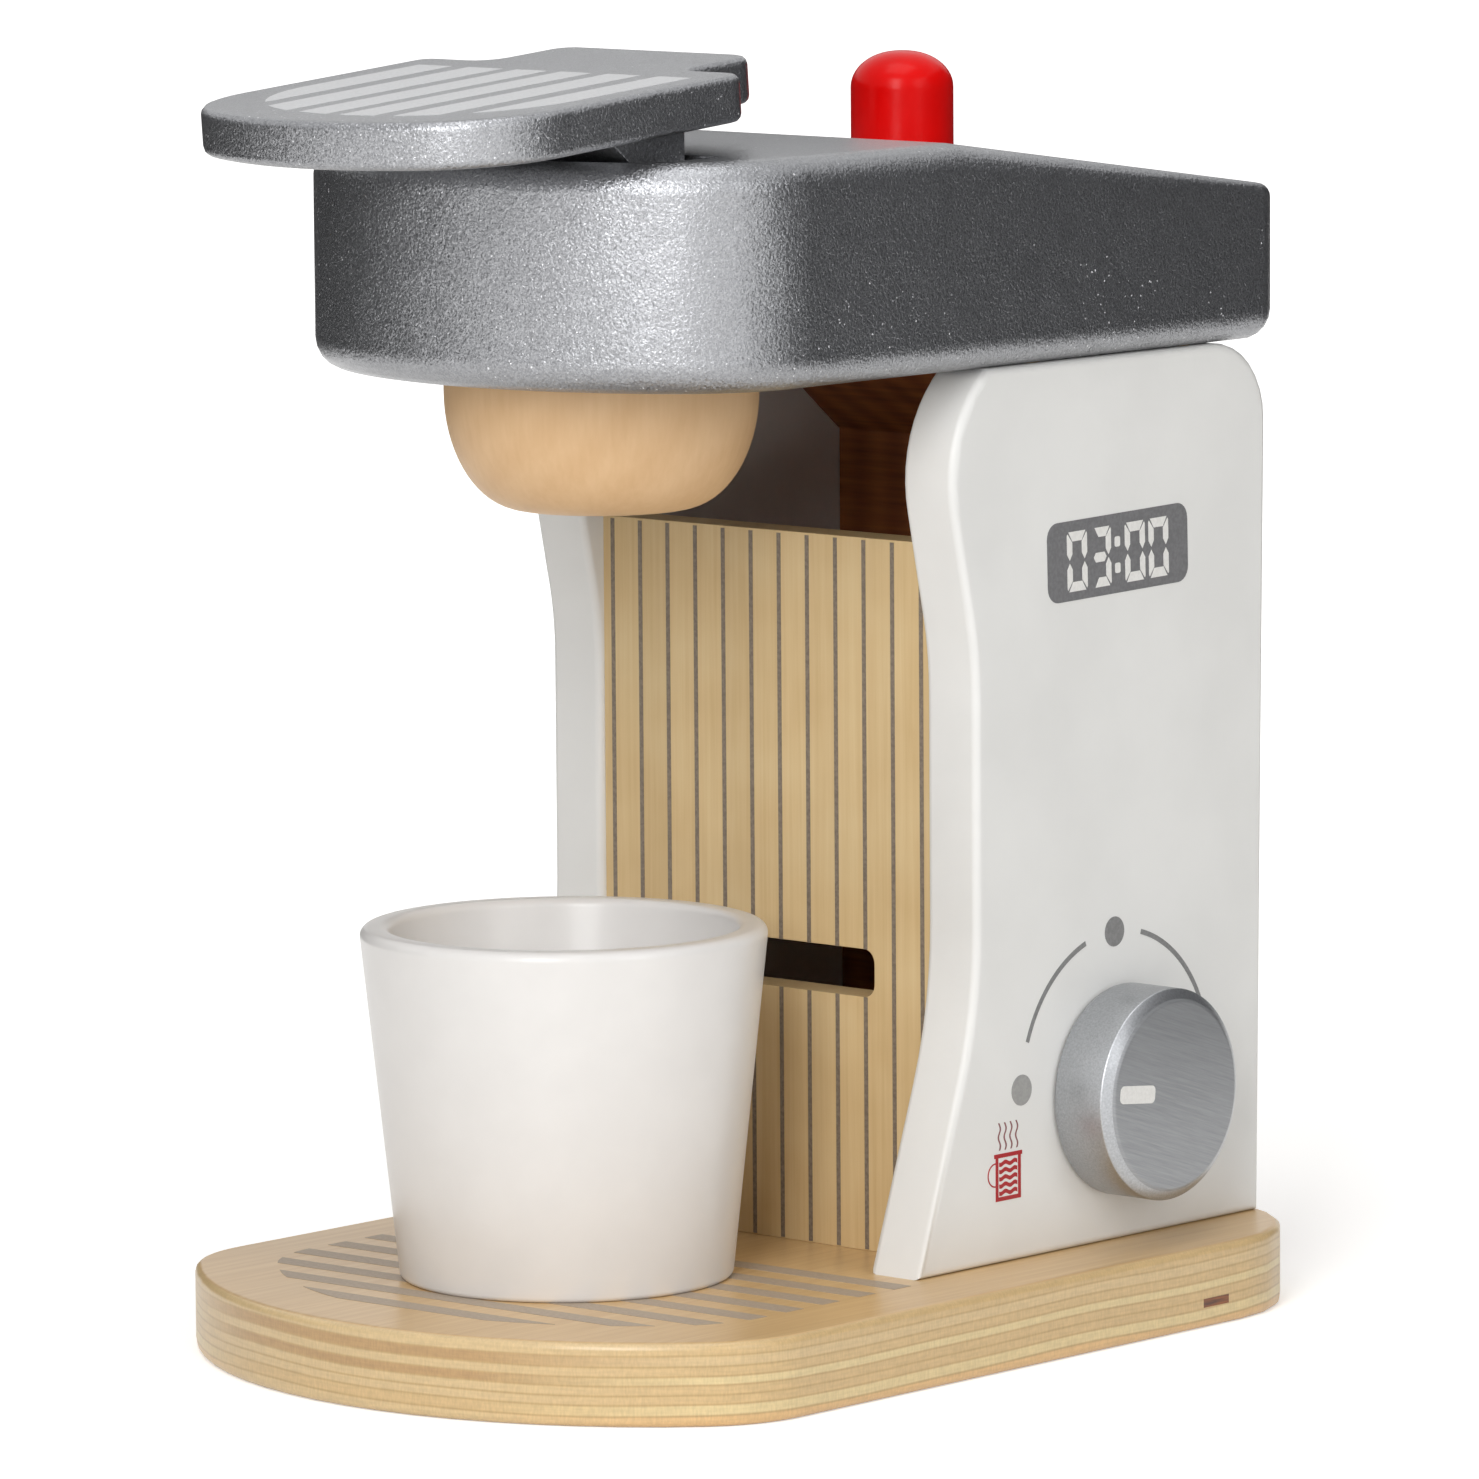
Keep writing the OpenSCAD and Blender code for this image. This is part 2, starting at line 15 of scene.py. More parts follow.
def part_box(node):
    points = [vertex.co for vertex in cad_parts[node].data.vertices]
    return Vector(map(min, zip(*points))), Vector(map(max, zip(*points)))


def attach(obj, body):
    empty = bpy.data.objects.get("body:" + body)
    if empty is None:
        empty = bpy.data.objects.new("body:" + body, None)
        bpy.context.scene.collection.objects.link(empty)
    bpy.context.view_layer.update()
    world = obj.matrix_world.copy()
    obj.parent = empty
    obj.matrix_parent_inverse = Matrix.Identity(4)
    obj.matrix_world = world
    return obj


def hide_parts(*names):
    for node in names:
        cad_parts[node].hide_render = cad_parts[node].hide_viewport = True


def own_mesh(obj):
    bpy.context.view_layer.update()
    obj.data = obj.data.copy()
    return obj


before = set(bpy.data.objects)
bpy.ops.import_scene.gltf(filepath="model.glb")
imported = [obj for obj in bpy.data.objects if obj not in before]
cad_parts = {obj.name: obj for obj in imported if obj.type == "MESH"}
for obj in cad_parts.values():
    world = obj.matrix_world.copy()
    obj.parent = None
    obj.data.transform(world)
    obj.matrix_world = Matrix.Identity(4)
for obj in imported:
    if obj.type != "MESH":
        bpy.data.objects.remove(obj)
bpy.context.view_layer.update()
MM = 0.001
scene = bpy.context.scene
scene.view_settings.view_transform = "Standard"

# %% [markdown]
# ## The camera
# A small object is looked at from far away with a long lens, so that its upright edges stay
# nearly parallel. The camera stands 1.5 m away, 42 degrees round to the right and 7 degrees up.
# Its axes are worked out from those angles, which is surer than aiming by hand.

# %% Place the camera
view_turn, view_rise, view_roll = (math.radians(a) for a in (41.728, 7.254, -0.403))
view_target = Vector((0, 6, 85.86)) * MM
view_distance = 1498.54 * MM
view_back = Vector((math.sin(view_turn) * math.cos(view_rise),
                    -math.cos(view_turn) * math.cos(view_rise), math.sin(view_rise)))
level_right = Vector((math.cos(view_turn), math.sin(view_turn), 0))
level_up = view_back.cross(level_right)
view_right = math.cos(view_roll) * level_right + math.sin(view_roll) * level_up
view_up = math.cos(view_roll) * level_up - math.sin(view_roll) * level_right

bpy.ops.object.camera_add()
camera = bpy.context.object
camera.matrix_world = Matrix((view_right, view_up, view_back)).transposed().to_4x4()
camera.location = view_target + view_back * view_distance
camera.data.sensor_width = 36
camera.data.lens = 251.39
camera.data.clip_end = 100
scene.camera = camera
print("camera at, mm:", [round(v / MM) for v in camera.location])

# %% [markdown]
# ## Small tools
# A colour is written as the hex value that a screen shows and turned to the linear numbers
# that a shader works with. One function adds a node with its settings and its links, and one
# starts a finish. Three more work on pieces: the first makes a piece the only one selected,
# because an operator acts on all that is selected, the second gives a piece its name, its
# material and its moving body, and the third applies a modifier.


# %% Colour and node helpers
def linear(code):
    """sRGB hex colour as linear RGBA."""
    shown = [int(code[i:i + 2], 16) / 255 for i in (0, 2, 4)]
    return [c / 12.92 if c <= 0.04045 else ((c + 0.055) / 1.055) ** 2.4 for c in shown] + [1.0]


def add(tree, kind, inputs=None, stops=None, **settings):
    """Add one node. inputs: socket name or number to a value or to another node's socket;
    stops: positions and hex colours of a colour ramp."""
    made = tree.nodes.new("ShaderNode" + kind)
    for key, value in settings.items():
        setattr(made, key, value)
    for key, value in (inputs or {}).items():
        if isinstance(value, bpy.types.NodeSocket):
            tree.links.new(value, made.inputs[key])
        else:
            made.inputs[key].default_value = value
    for number, (position, code) in enumerate(stops or []):
        ramp = made.color_ramp.elements
        stop = ramp[number] if number < 2 else ramp.new(position)
        stop.position, stop.color = position, linear(code)
    return made


def finish_named(name, **shader_values):
    """A new material with its shader set; returns material, node tree, shader, place in mm."""
    made = bpy.data.materials.new(name)
    made.use_nodes = True
    tree = made.node_tree
    shader = tree.nodes["Principled BSDF"]
    for key, value in shader_values.items():
        shader.inputs[key.replace("_", " ")].default_value = value
    where = add(tree, "TexCoord")
    place = add(tree, "Mapping", {"Vector": where.outputs["Object"], "Scale": (1000,) * 3})
    return made, tree, shader, place.outputs["Vector"]


print("white is", linear("FFFFFF"))


# %% Helpers for pieces
def alone(piece):
    """Make piece the only selected object and the active one."""
    bpy.ops.object.select_all(action="DESELECT")
    piece.select_set(True)
    bpy.context.view_layer.objects.active = piece
    return piece


def settle(piece, name, body, finish, replaces=(), angle=35):
    """Name a finished piece, put its place in its mesh, shade it, paint it and let it ride."""
    alone(piece)
    bpy.ops.object.transform_apply(location=True, rotation=True, scale=True)
    bpy.ops.object.shade_smooth_by_angle(angle=math.radians(angle))
    piece.name = piece.data.name = name
    piece.data.materials.clear()
    piece.data.materials.append(finish)
    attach(piece, body)
    if replaces:
        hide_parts(*replaces)
    print(name, len(piece.data.polygons), "faces")
    return piece


def use(piece, kind, **settings):
    """Add a modifier to piece and apply it."""
    alone(piece)
    made = piece.modifiers.new(kind.title(), kind)
    for key, value in settings.items():
        setattr(made, key, value)
    bpy.ops.object.modifier_apply(modifier=made.name)


# %% [markdown]
# ## Floor, backdrop and light
# The toy stands on a sweep of matt white paper under soft light. The paper and the world are
# white for the camera, for reflections and for what is seen through glass, while the light that
# they give to the toy stays moderate. Round the toy the paper glows less, so its shadow shows.


# %% White world and floor
def shown_white(tree):
    """1 for rays from the camera, mirrored rays and rays through glass, 0 for all others."""
    ray = add(tree, "LightPath")
    seen = add(tree, "Math", {0: ray.outputs["Is Camera Ray"], 1: ray.outputs["Is Glossy Ray"]},
               operation="MAXIMUM")
    return add(tree, "Math", {0: seen.outputs[0], 1: ray.outputs["Is Transmission Ray"]},
               operation="MAXIMUM").outputs[0]


world = bpy.data.worlds.new("white_studio")
scene.world = world
world.use_nodes = True
sky = world.node_tree
sky.nodes.clear()
soft = add(sky, "Background", {"Color": linear("F4F2EF"), "Strength": 0.3})
white = add(sky, "Background", {"Color": linear("FFFFFF"), "Strength": 1.0})
both = add(sky, "MixShader", {0: shown_white(sky), 1: soft.outputs[0], 2: white.outputs[0]})
add(sky, "OutputWorld", {"Surface": both.outputs[0]})

floor_paint, tree, shader, place = finish_named(
    "matt_white_paper", Roughness=0.9, Base_Color=linear("F3F2F0"),
    Emission_Color=linear("FFFFFF"))
# mm from the toy over which the glow of the paper rises to white
away = add(tree, "VectorMath", {0: place}, operation="LENGTH")
fade = add(tree, "MapRange", {"Value": away.outputs["Value"], "From Min": 110.0,
                              "From Max": 700.0, "To Min": 0.42, "To Max": 1.0})
lift = add(tree, "Math", {0: shown_white(tree), 1: fade.outputs[0]}, operation="MULTIPLY")
tree.links.new(lift.outputs[0], shader.inputs["Emission Strength"])

floor_radius = 14
bpy.ops.mesh.primitive_circle_add(vertices=96, radius=floor_radius, fill_type="NGON")
floor = bpy.context.object
floor.name = "paper_floor"
floor.data.materials.append(floor_paint)
print("floor radius, m:", floor_radius)

# %% [markdown]
# ## Soft boxes and dark cards
# Three soft boxes light the toy: a narrow one in front, a little to the right, which draws the
# bright band down the bow of the head, a weaker one on the right side, and one above. Silver
# paint shows what stands round it, and an all-white room would leave it pale and flat. So dark
# cards of flocked board stand behind on the right, on the left, and close behind the head. Only
# shiny faces see them: they throw no shadow, and the camera looks through them.


# %% Soft boxes
def soft_box(name, turn, rise, distance, width, height, power):
    """An area lamp that looks at the toy; turn is measured to the right of the front."""
    t, r = math.radians(turn), math.radians(rise)
    back = Vector((math.sin(t) * math.cos(r), -math.cos(t) * math.cos(r), math.sin(r)))
    bpy.ops.object.light_add(type="AREA", location=view_target + back * distance)
    lamp = bpy.context.object
    lamp.name = lamp.data.name = name
    lamp.rotation_euler = (-back).to_track_quat("-Z", "Y").to_euler()
    lamp.data.shape = "RECTANGLE"
    lamp.data.size, lamp.data.size_y, lamp.data.energy = width, height, power
    print(name, power, "W")


soft_box("key_box", turn=27, rise=26, distance=1.3, width=0.42, height=0.9, power=9.4)
soft_box("fill_box", turn=88, rise=24, distance=1.6, width=0.9, height=0.9, power=4.9)
soft_box("top_box", turn=20, rise=82, distance=1.4, width=0.9, height=0.9, power=6)


# %% Dark cards
def card(name, tone, turn, distance, width, low, high):
    """A dark card that stands round the toy and is seen only in its shiny faces."""
    flock = finish_named(name + "_flock", Roughness=0.9, Base_Color=linear(tone))[0]
    t = math.radians(turn)
    bpy.ops.object.select_all(action="DESELECT")
    bpy.ops.mesh.primitive_plane_add(size=1)
    made = bpy.context.object
    made.name = name
    made.scale = (width, high - low, 1)
    made.rotation_euler = (math.radians(90), 0, t)
    made.location = Vector((math.sin(t), -math.cos(t), 0)) * distance
    made.location.z = (low + high) / 2
    bpy.ops.object.transform_apply(location=True, rotation=True, scale=True)
    made.data.materials.append(flock)
    made.visible_camera = made.visible_diffuse = made.visible_shadow = False
    made.visible_transmission = made.visible_volume_scatter = False
    print(name, "at", turn, "degrees")


card("right_card", "444448", turn=140, distance=0.34, width=0.75, low=0.0, high=0.42)
card("left_card", "28282B", turn=-80, distance=0.5, width=0.9, low=0.0, high=0.29)
card("rear_card", "1C1C1E", turn=-145, distance=0.3, width=0.5, low=0.13, high=0.24)

# %% [markdown]
# ## Birch plywood
# The board is eight-ply birch, cut to shape, sanded and left with a thin matt varnish. Its face
# veneer is pale with a faint long grain. Its edge shows the plies: long-grain plies are light
# and smooth, cross plies show end grain, a little darker with tiny upright pores, and thin
# glue lines part them. The plies that are dark at the front are pale at the sides, so there
# are two ramps over the height, mixed by the distance from the middle. A slow noise bends them.

# %% Veneers of the plywood
board_top = 12
VENEERS = {"honey": "E1BB85", "cream": "E2CC9A", "straw": "DABF90", "tan": "D6B886",
           "brown": "BF9B6C"}
GLUE_LINE = "C3A371"
GLUE_BLUR = 0.25  # mm over which a glue line fades into the plies beside it
PLY_TOPS = (1.65, 3.25, 4.6, 6.0, 7.3, 8.7, 10.25, 12.0)  # mm above the table
AT_FRONT = ("straw", "tan", "straw", "straw", "brown", "straw", "brown", "straw")
AT_SIDES = ("honey", "cream", "tan", "tan", "cream", "tan", "straw", "tan")


def ply_stops(kinds):
    """Ramp stops for plies of these kinds, with a glue line between each two."""
    stops, bottom = [], 0.0
    for top, kind in zip(PLY_TOPS, kinds):
        stops += [((bottom + GLUE_BLUR) / board_top, VENEERS[kind]),
                  ((top - GLUE_BLUR) / board_top, VENEERS[kind])]
        if top < board_top:
            stops.append((top / board_top, GLUE_LINE))
        bottom = top
    return stops


print("plies:", len(PLY_TOPS))

# %% Plies on the edge of the board
plywood, tree, shader, place = finish_named("varnished_birch_plywood", Roughness=0.32,
                                            Specular_IOR_Level=0.65)
slow = add(tree, "TexNoise", {"Vector": place, "Scale": 0.018, "Detail": 1.0})
axes = add(tree, "SeparateXYZ", {"Vector": place})
bend = add(tree, "MapRange", {"Value": slow.outputs["Fac"], "From Min": 0.3, "From Max": 0.7,
                              "To Min": -0.45, "To Max": 0.45})
height = add(tree, "Math", {0: axes.outputs["Z"], 1: bend.outputs[0]})
share = add(tree, "Math", {0: height.outputs[0], 1: board_top}, operation="DIVIDE")
sides = add(tree, "ValToRGB", {"Fac": share.outputs[0]}, stops=ply_stops(AT_SIDES))
front = add(tree, "ValToRGB", {"Fac": share.outputs[0]}, stops=ply_stops(AT_FRONT))
aside = add(tree, "Math", {0: axes.outputs["X"]}, operation="ABSOLUTE")
is_side = add(tree, "MapRange", {"Value": aside.outputs[0], "From Min": 22.0,
                                 "From Max": 50.0})
edge = add(tree, "Mix", {0: is_side.outputs[0], 6: front.outputs["Color"],
                         7: sides.outputs["Color"]}, data_type="RGBA")
print("plies laid out,", len(tree.nodes), "nodes")

# %% Fibres and pores on the sawn edge
# sawn fibres along the plies of the edge, 0.4 mm high and some 4 mm long
tick_place = add(tree, "Mapping", {"Vector": place, "Scale": (0.25, 0.25, 2.6)})
ticks = add(tree, "TexNoise", {"Vector": tick_place.outputs[0], "Scale": 1.0, "Detail": 2.0})
tick_shade = add(tree, "MapRange", {"Value": ticks.outputs["Fac"], "From Min": 0.35,
                                    "From Max": 0.65, "To Min": 0.9, "To Max": 0.98})
# upright pores, 0.3 mm wide and a little over 1 mm high
pore_place = add(tree, "Mapping", {"Vector": place, "Scale": (3.2, 3.2, 0.9)})
pores = add(tree, "TexNoise", {"Vector": pore_place.outputs[0], "Scale": 1.0, "Detail": 1.0})
pore_shade = add(tree, "MapRange", {"Value": pores.outputs["Fac"], "From Min": 0.3,
                                    "From Max": 0.7, "To Min": 0.93, "To Max": 1.05})
marks = add(tree, "Math", {0: tick_shade.outputs[0], 1: pore_shade.outputs[0]},
            operation="MULTIPLY")
edge_ticked = add(tree, "VectorMath", {0: edge.outputs[2], 1: marks.outputs[0]},
                  operation="MULTIPLY")
print("sawn edge marked,", len(tree.nodes), "nodes")

# %% Face veneer
# long grain of the face veneer, fibres about 0.5 mm apart and 30 mm long, along Y
grain_place = add(tree, "Mapping", {"Vector": place, "Scale": (0.9, 0.03, 0.9)})
grain = add(tree, "TexNoise", {"Vector": grain_place.outputs[0], "Scale": 1.0, "Detail": 5.0,
                               "Roughness": 0.62, "Distortion": 0.25})
face = add(tree, "ValToRGB", {"Fac": grain.outputs["Fac"]},
           stops=[(0.3, "C8A472"), (0.72, "D8B98A"), (0.5, "D0AE7D")])
cloud = add(tree, "TexNoise", {"Vector": place, "Scale": 0.03, "Detail": 2.0})
cloud_shade = add(tree, "MapRange", {"Value": cloud.outputs["Fac"], "From Min": 0.3,
                                     "From Max": 0.7, "To Min": 0.94, "To Max": 1.04})
face_clouded = add(tree, "VectorMath", {0: face.outputs["Color"], 1: cloud_shade.outputs[0]},
                   operation="MULTIPLY")
# the face veneer shows where the surface looks up or down
level = add(tree, "NewGeometry")
facing = add(tree, "SeparateXYZ", {"Vector": level.outputs["True Normal"]})
flat = add(tree, "Math", {0: facing.outputs["Z"]}, operation="ABSOLUTE")
is_face = add(tree, "MapRange", {"Value": flat.outputs[0], "From Min": 0.86, "From Max": 0.97})
wood = add(tree, "Mix", {0: is_face.outputs[0], 6: edge_ticked.outputs[0],
                         7: face_clouded.outputs[0]}, data_type="RGBA")
print("face veneer laid,", len(tree.nodes), "nodes")

# %% A gap in a core ply, filled with a chip of red wood
chip_y, chip_half_y, chip_z, chip_half_z = 47.5, 2.9, 3.75, 0.65
near_y = add(tree, "Math", {0: axes.outputs["Y"], 1: chip_y, 2: chip_half_y},
             operation="COMPARE")
near_z = add(tree, "Math", {0: axes.outputs["Z"], 1: chip_z, 2: chip_half_z},
             operation="COMPARE")
chip = add(tree, "Math", {0: near_y.outputs[0], 1: near_z.outputs[0]}, operation="MULTIPLY")
outer = add(tree, "Math", {0: axes.outputs["X"], 1: 50.0}, operation="GREATER_THAN")
chip = add(tree, "Math", {0: chip.outputs[0], 1: outer.outputs[0]}, operation="MULTIPLY")
chip_wood = add(tree, "ValToRGB", {"Fac": ticks.outputs["Fac"]},
                stops=[(0.35, "52280A"), (0.65, "8E4C16")])
wood = add(tree, "Mix", {0: chip.outputs[0], 6: wood.outputs[2],
                         7: chip_wood.outputs["Color"]}, data_type="RGBA")
tree.links.new(wood.outputs[2], shader.inputs["Base Color"])
bump = add(tree, "Bump", {"Height": ticks.outputs["Fac"], "Strength": 0.5,
                          "Distance": 0.02 * MM})
tree.links.new(bump.outputs[0], shader.inputs["Normal"])
print(plywood.name, len(tree.nodes), "nodes")

# %% [markdown]
# ## Birch front panel
# The front panel is thin birch with its grain upright, printed with twelve thin lines that
# make it look like narrow boards. Each board gets its own faint tone, and the grain is a noise
# pulled out along the height.

# %% Birch panel material
first_line_x, board_pitch, line_count = -29.8, 5.43, 12
birch, tree, shader, place = finish_named("birch_panel_varnished", Roughness=0.48,
                                          Specular_IOR_Level=0.35)
axes = add(tree, "SeparateXYZ", {"Vector": place})
shifted = add(tree, "Math", {0: axes.outputs["X"], 1: -first_line_x})
count = add(tree, "Math", {0: shifted.outputs[0], 1: board_pitch}, operation="DIVIDE")
board = add(tree, "Math", {0: count.outputs[0]}, operation="FLOOR")
chance = add(tree, "TexWhiteNoise", {"W": board.outputs[0]}, noise_dimensions="1D")
tone = add(tree, "MapRange", {"Value": chance.outputs["Value"], "To Min": 0.95, "To Max": 1.04})
# fibres 0.8 mm wide and 40 mm long, upright
grain_place = add(tree, "Mapping", {"Vector": place, "Scale": (1.25, 1.25, 0.025)})
grain = add(tree, "TexNoise", {"Vector": grain_place.outputs[0], "Scale": 1.0, "Detail": 5.0,
                               "Roughness": 0.6, "Distortion": 0.3})
cloud = add(tree, "TexNoise", {"Vector": place, "Scale": 0.07, "Detail": 2.0})
mixed = add(tree, "Math", {0: grain.outputs["Fac"], 1: cloud.outputs["Fac"]}, operation="ADD")
half = add(tree, "Math", {0: mixed.outputs[0], 1: 0.5}, operation="MULTIPLY")
veneer = add(tree, "ValToRGB", {"Fac": half.outputs[0]},
             stops=[(0.34, "CFB282"), (0.66, "DDC598"), (0.5, "D7BC8D")])
toned = add(tree, "VectorMath", {0: veneer.outputs["Color"], 1: tone.outputs[0]},
            operation="MULTIPLY")
tree.links.new(toned.outputs[0], shader.inputs["Base Color"])
bump = add(tree, "Bump", {"Height": grain.outputs["Fac"], "Strength": 0.4,
                          "Distance": 0.04 * MM})
tree.links.new(bump.outputs[0], shader.inputs["Normal"])
print(birch.name, len(tree.nodes), "nodes")

# %% [markdown]
# ## Paints and lacquers
# Four coats cover most of the toy. The white paint of the side panels is brushed and sanded,
# nearly matt, with a fine orange peel. The silver paint holds aluminium flakes in a clear
# binder. It is a metallic shader with a bump of fine wrinkles, and in a pattern of cells each
# flake leans its own way, which breaks up the highlight. A few cells are painted glints:
# near-white dots that are not metal. The red button and the white cup are dipped in lacquer,
# which is smoother and shinier.

# %% White paint
white_paint, tree, shader, place = finish_named("satin_white_enamel", Roughness=0.42,
                                                Specular_IOR_Level=0.4)
cloud = add(tree, "TexNoise", {"Vector": place, "Scale": 0.05, "Detail": 3.0})
tint = add(tree, "ValToRGB", {"Fac": cloud.outputs["Fac"]},
           stops=[(0.35, "E4E4E2"), (0.65, "E9E9E7")])
tree.links.new(tint.outputs["Color"], shader.inputs["Base Color"])
peel = add(tree, "TexNoise", {"Vector": place, "Scale": 1.1, "Detail": 2.0})
bump = add(tree, "Bump", {"Height": peel.outputs["Fac"], "Strength": 0.6,
                          "Distance": 0.03 * MM})
tree.links.new(bump.outputs[0], shader.inputs["Normal"])
print(white_paint.name, len(tree.nodes), "nodes")

# %% Colour and painted glints of the silver paint
flake = 0.21  # mm across; real flakes are under 0.05 mm and wouldn't show
# painted glints: a flake whose chance lies above the next value is drawn near-white
painted_glint_from = 0.996  # a flake whose chance lies above this sparkles
silver, tree, shader, place = finish_named("aluminium_flake_paint", Metallic=0.9,
                                           Roughness=0.3)
cells = add(tree, "TexVoronoi", {"Vector": place, "Scale": 1 / flake})
cell_chance = add(tree, "SeparateColor", {0: cells.outputs["Color"]})
patches = add(tree, "TexNoise", {"Vector": place, "Scale": 0.045, "Detail": 3.0})
crowd = add(tree, "MapRange", {"Value": patches.outputs["Fac"], "From Min": 0.45,
                               "From Max": 0.7, "To Min": -0.006, "To Max": 0.004})
lot = add(tree, "Math", {0: cell_chance.outputs[0], 1: crowd.outputs[0]})
# the last stop is the near-white colour of the painted glints
tone = add(tree, "ValToRGB", {"Fac": lot.outputs[0]},
           stops=[(0.0, "86878A"), (0.9, "9D9EA1"), (0.992, "A0A1A4"), (painted_glint_from, "E2E3E6")])
tree.links.new(tone.outputs["Color"], shader.inputs["Base Color"])
# a few flakes are painted glints: near-white dots that are not metal, standing in for the
# sparkle of flakes that catch the light
painted_glint = add(tree, "Math", {0: lot.outputs[0], 1: painted_glint_from}, operation="GREATER_THAN")
glint_not_metal = add(tree, "MapRange", {"Value": painted_glint.outputs[0], "To Min": 0.9, "To Max": 0.0})
tree.links.new(glint_not_metal.outputs[0], shader.inputs["Metallic"])
print("flakes,", len(tree.nodes), "nodes")

# %% Skin of the silver paint
# wrinkles 0.5 mm apart, drawn 0.14 mm deep so that they show, over a wave left by the brush
wave = add(tree, "TexNoise", {"Vector": place, "Scale": 0.12, "Detail": 1.0})
swell = add(tree, "Bump", {"Height": wave.outputs["Fac"], "Strength": 1.0,
                           "Distance": 0.25 * MM})
wrinkle = add(tree, "TexNoise", {"Vector": place, "Scale": 2.1, "Detail": 3.0,
                                 "Roughness": 0.55, "Distortion": 0.4})
skin = add(tree, "Bump", {"Height": wrinkle.outputs["Fac"], "Strength": 1.0,
                          "Distance": 0.14 * MM, "Normal": swell.outputs[0]})
# each flake leans its own way, most of them a little and a few a lot
most_lean = 1.25
lean = add(tree, "VectorMath", {0: cells.outputs["Color"], 1: (0.5,) * 3},
           operation="SUBTRACT")
lean_squared = add(tree, "VectorMath", {0: lean.outputs[0], 1: lean.outputs[0]},
                   operation="MULTIPLY")
lean_cubed = add(tree, "VectorMath", {0: lean_squared.outputs[0], 1: lean.outputs[0]},
                 operation="MULTIPLY")
leaned = add(tree, "VectorMath", {0: lean_cubed.outputs[0], 1: (most_lean,) * 3,
                                  2: skin.outputs[0]}, operation="MULTIPLY_ADD")
flaked = add(tree, "VectorMath", {0: leaned.outputs[0]}, operation="NORMALIZE")
tree.links.new(flaked.outputs[0], shader.inputs["Normal"])
print(silver.name, len(tree.nodes), "nodes")

# %% [markdown]
# ## The dial's brushed face
# The dial wears the same silver paint, but its face was sanded after it dried. The sanding took
# flakes off and left lines, so the face is less metallic than the rim. Its colour is painted
# a shade darker than the rim's, and the rim's a little lighter, as painted shade and light. One
# material does both: a step along X tells the face from the rest, and the lines are a noise
# that is pulled out along the sanding.

# %% Brushed silver for the dial
dial_low, dial_high = (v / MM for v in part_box("dial_knob"))
dial_y, dial_z = ((dial_low + dial_high) / 2).yz
brushed, tree, shader, place = finish_named("brushed_silver_paint", Metallic=0.88,
                                            Roughness=0.38)
# brush lines run across the face, falling a little to the rear
line_place = add(tree, "Mapping", {"Vector": place, "Rotation": (math.radians(18), 0, 0)})
line_scale = add(tree, "Mapping", {"Vector": line_place.outputs[0], "Scale": (0.3, 0.12, 3.6)})
lines = add(tree, "TexNoise", {"Vector": line_scale.outputs[0], "Scale": 1.0, "Detail": 4.0,
                               "Roughness": 0.7})
specks = add(tree, "TexNoise", {"Vector": place, "Scale": 3.4, "Detail": 3.0})
face_end = add(tree, "SeparateXYZ", {"Vector": place})
on_face = add(tree, "Math", {0: face_end.outputs["X"], 1: dial_high.x - 0.3},
              operation="GREATER_THAN")
grit = add(tree, "Mix", {0: on_face.outputs[0], 2: specks.outputs["Fac"],
                         3: lines.outputs["Fac"]})
tone = add(tree, "ValToRGB", {"Fac": grit.outputs[0]},
           stops=[(0.3, "95979A"), (0.7, "A9ABAE")])
metal = add(tree, "MapRange", {"Value": on_face.outputs[0], "To Min": 0.88, "To Max": 0.45})
tree.links.new(metal.outputs[0], shader.inputs["Metallic"])
# painted light and shade: the rim's colour is lightened and the face's darkened
rim_light_face_shade = add(tree, "MapRange", {"Value": on_face.outputs[0], "To Min": 1.22, "To Max": 0.9})
shaded_tone = add(tree, "VectorMath", {0: tone.outputs["Color"], 1: rim_light_face_shade.outputs[0]},
           operation="MULTIPLY")
tree.links.new(shaded_tone.outputs[0], shader.inputs["Base Color"])
bump = add(tree, "Bump", {"Height": grit.outputs[0], "Strength": 0.5,
                          "Distance": 0.03 * MM})
tree.links.new(bump.outputs[0], shader.inputs["Normal"])
print(brushed.name, len(tree.nodes), "nodes")


# %% Lacquers
def lacquer(name, low, high, rough, shine, wave, depth):
    """Dipped lacquer on turned wood: two tones, and waves of a width and depth in mm."""
    coat, tree, shader, place = finish_named(name, Roughness=rough, Coat_Roughness=0.12,
                                             Specular_IOR_Level=shine, Coat_Weight=0.06)
    cloud = add(tree, "TexNoise", {"Vector": place, "Scale": 0.12, "Detail": 3.0})
    tint = add(tree, "ValToRGB", {"Fac": cloud.outputs["Fac"]},
               stops=[(0.35, low), (0.65, high)])
    tree.links.new(tint.outputs["Color"], shader.inputs["Base Color"])
    waves = add(tree, "TexNoise", {"Vector": place, "Scale": 1 / wave, "Detail": 1.0})
    fine = add(tree, "TexNoise", {"Vector": place, "Scale": 1.4, "Detail": 1.0})
    small = add(tree, "Bump", {"Height": fine.outputs["Fac"], "Strength": 0.35,
                               "Distance": 0.02 * MM})
    large = add(tree, "Bump", {"Height": waves.outputs["Fac"], "Strength": 1.0,
                               "Distance": depth * MM, "Normal": small.outputs[0]})
    tree.links.new(large.outputs[0], shader.inputs["Normal"])
    print(name, len(tree.nodes), "nodes")
    return coat


red_lacquer = lacquer("glossy_red_lacquer", "D60201", "DE0403", rough=0.3, shine=0.12,
                      wave=3.0, depth=0.05)
white_lacquer = lacquer("glossy_white_lacquer", "E3E1DF", "E6E4E2", rough=0.3, shine=0.45,
                        wave=9.0, depth=0.04)

# %% [markdown]
# ## Turned and stained wood
# The spout is turned from beech and only oiled: warm, with arched growth lines that come from
# cutting through nested year rings, and short darker flecks. The back of the housing is
# stained red-brown and sits in deep shade. Dowels are plain beech sticks.


# %% Wood materials
RING_STEP = 0.314  # distance between the rings of a wave texture at scale 1


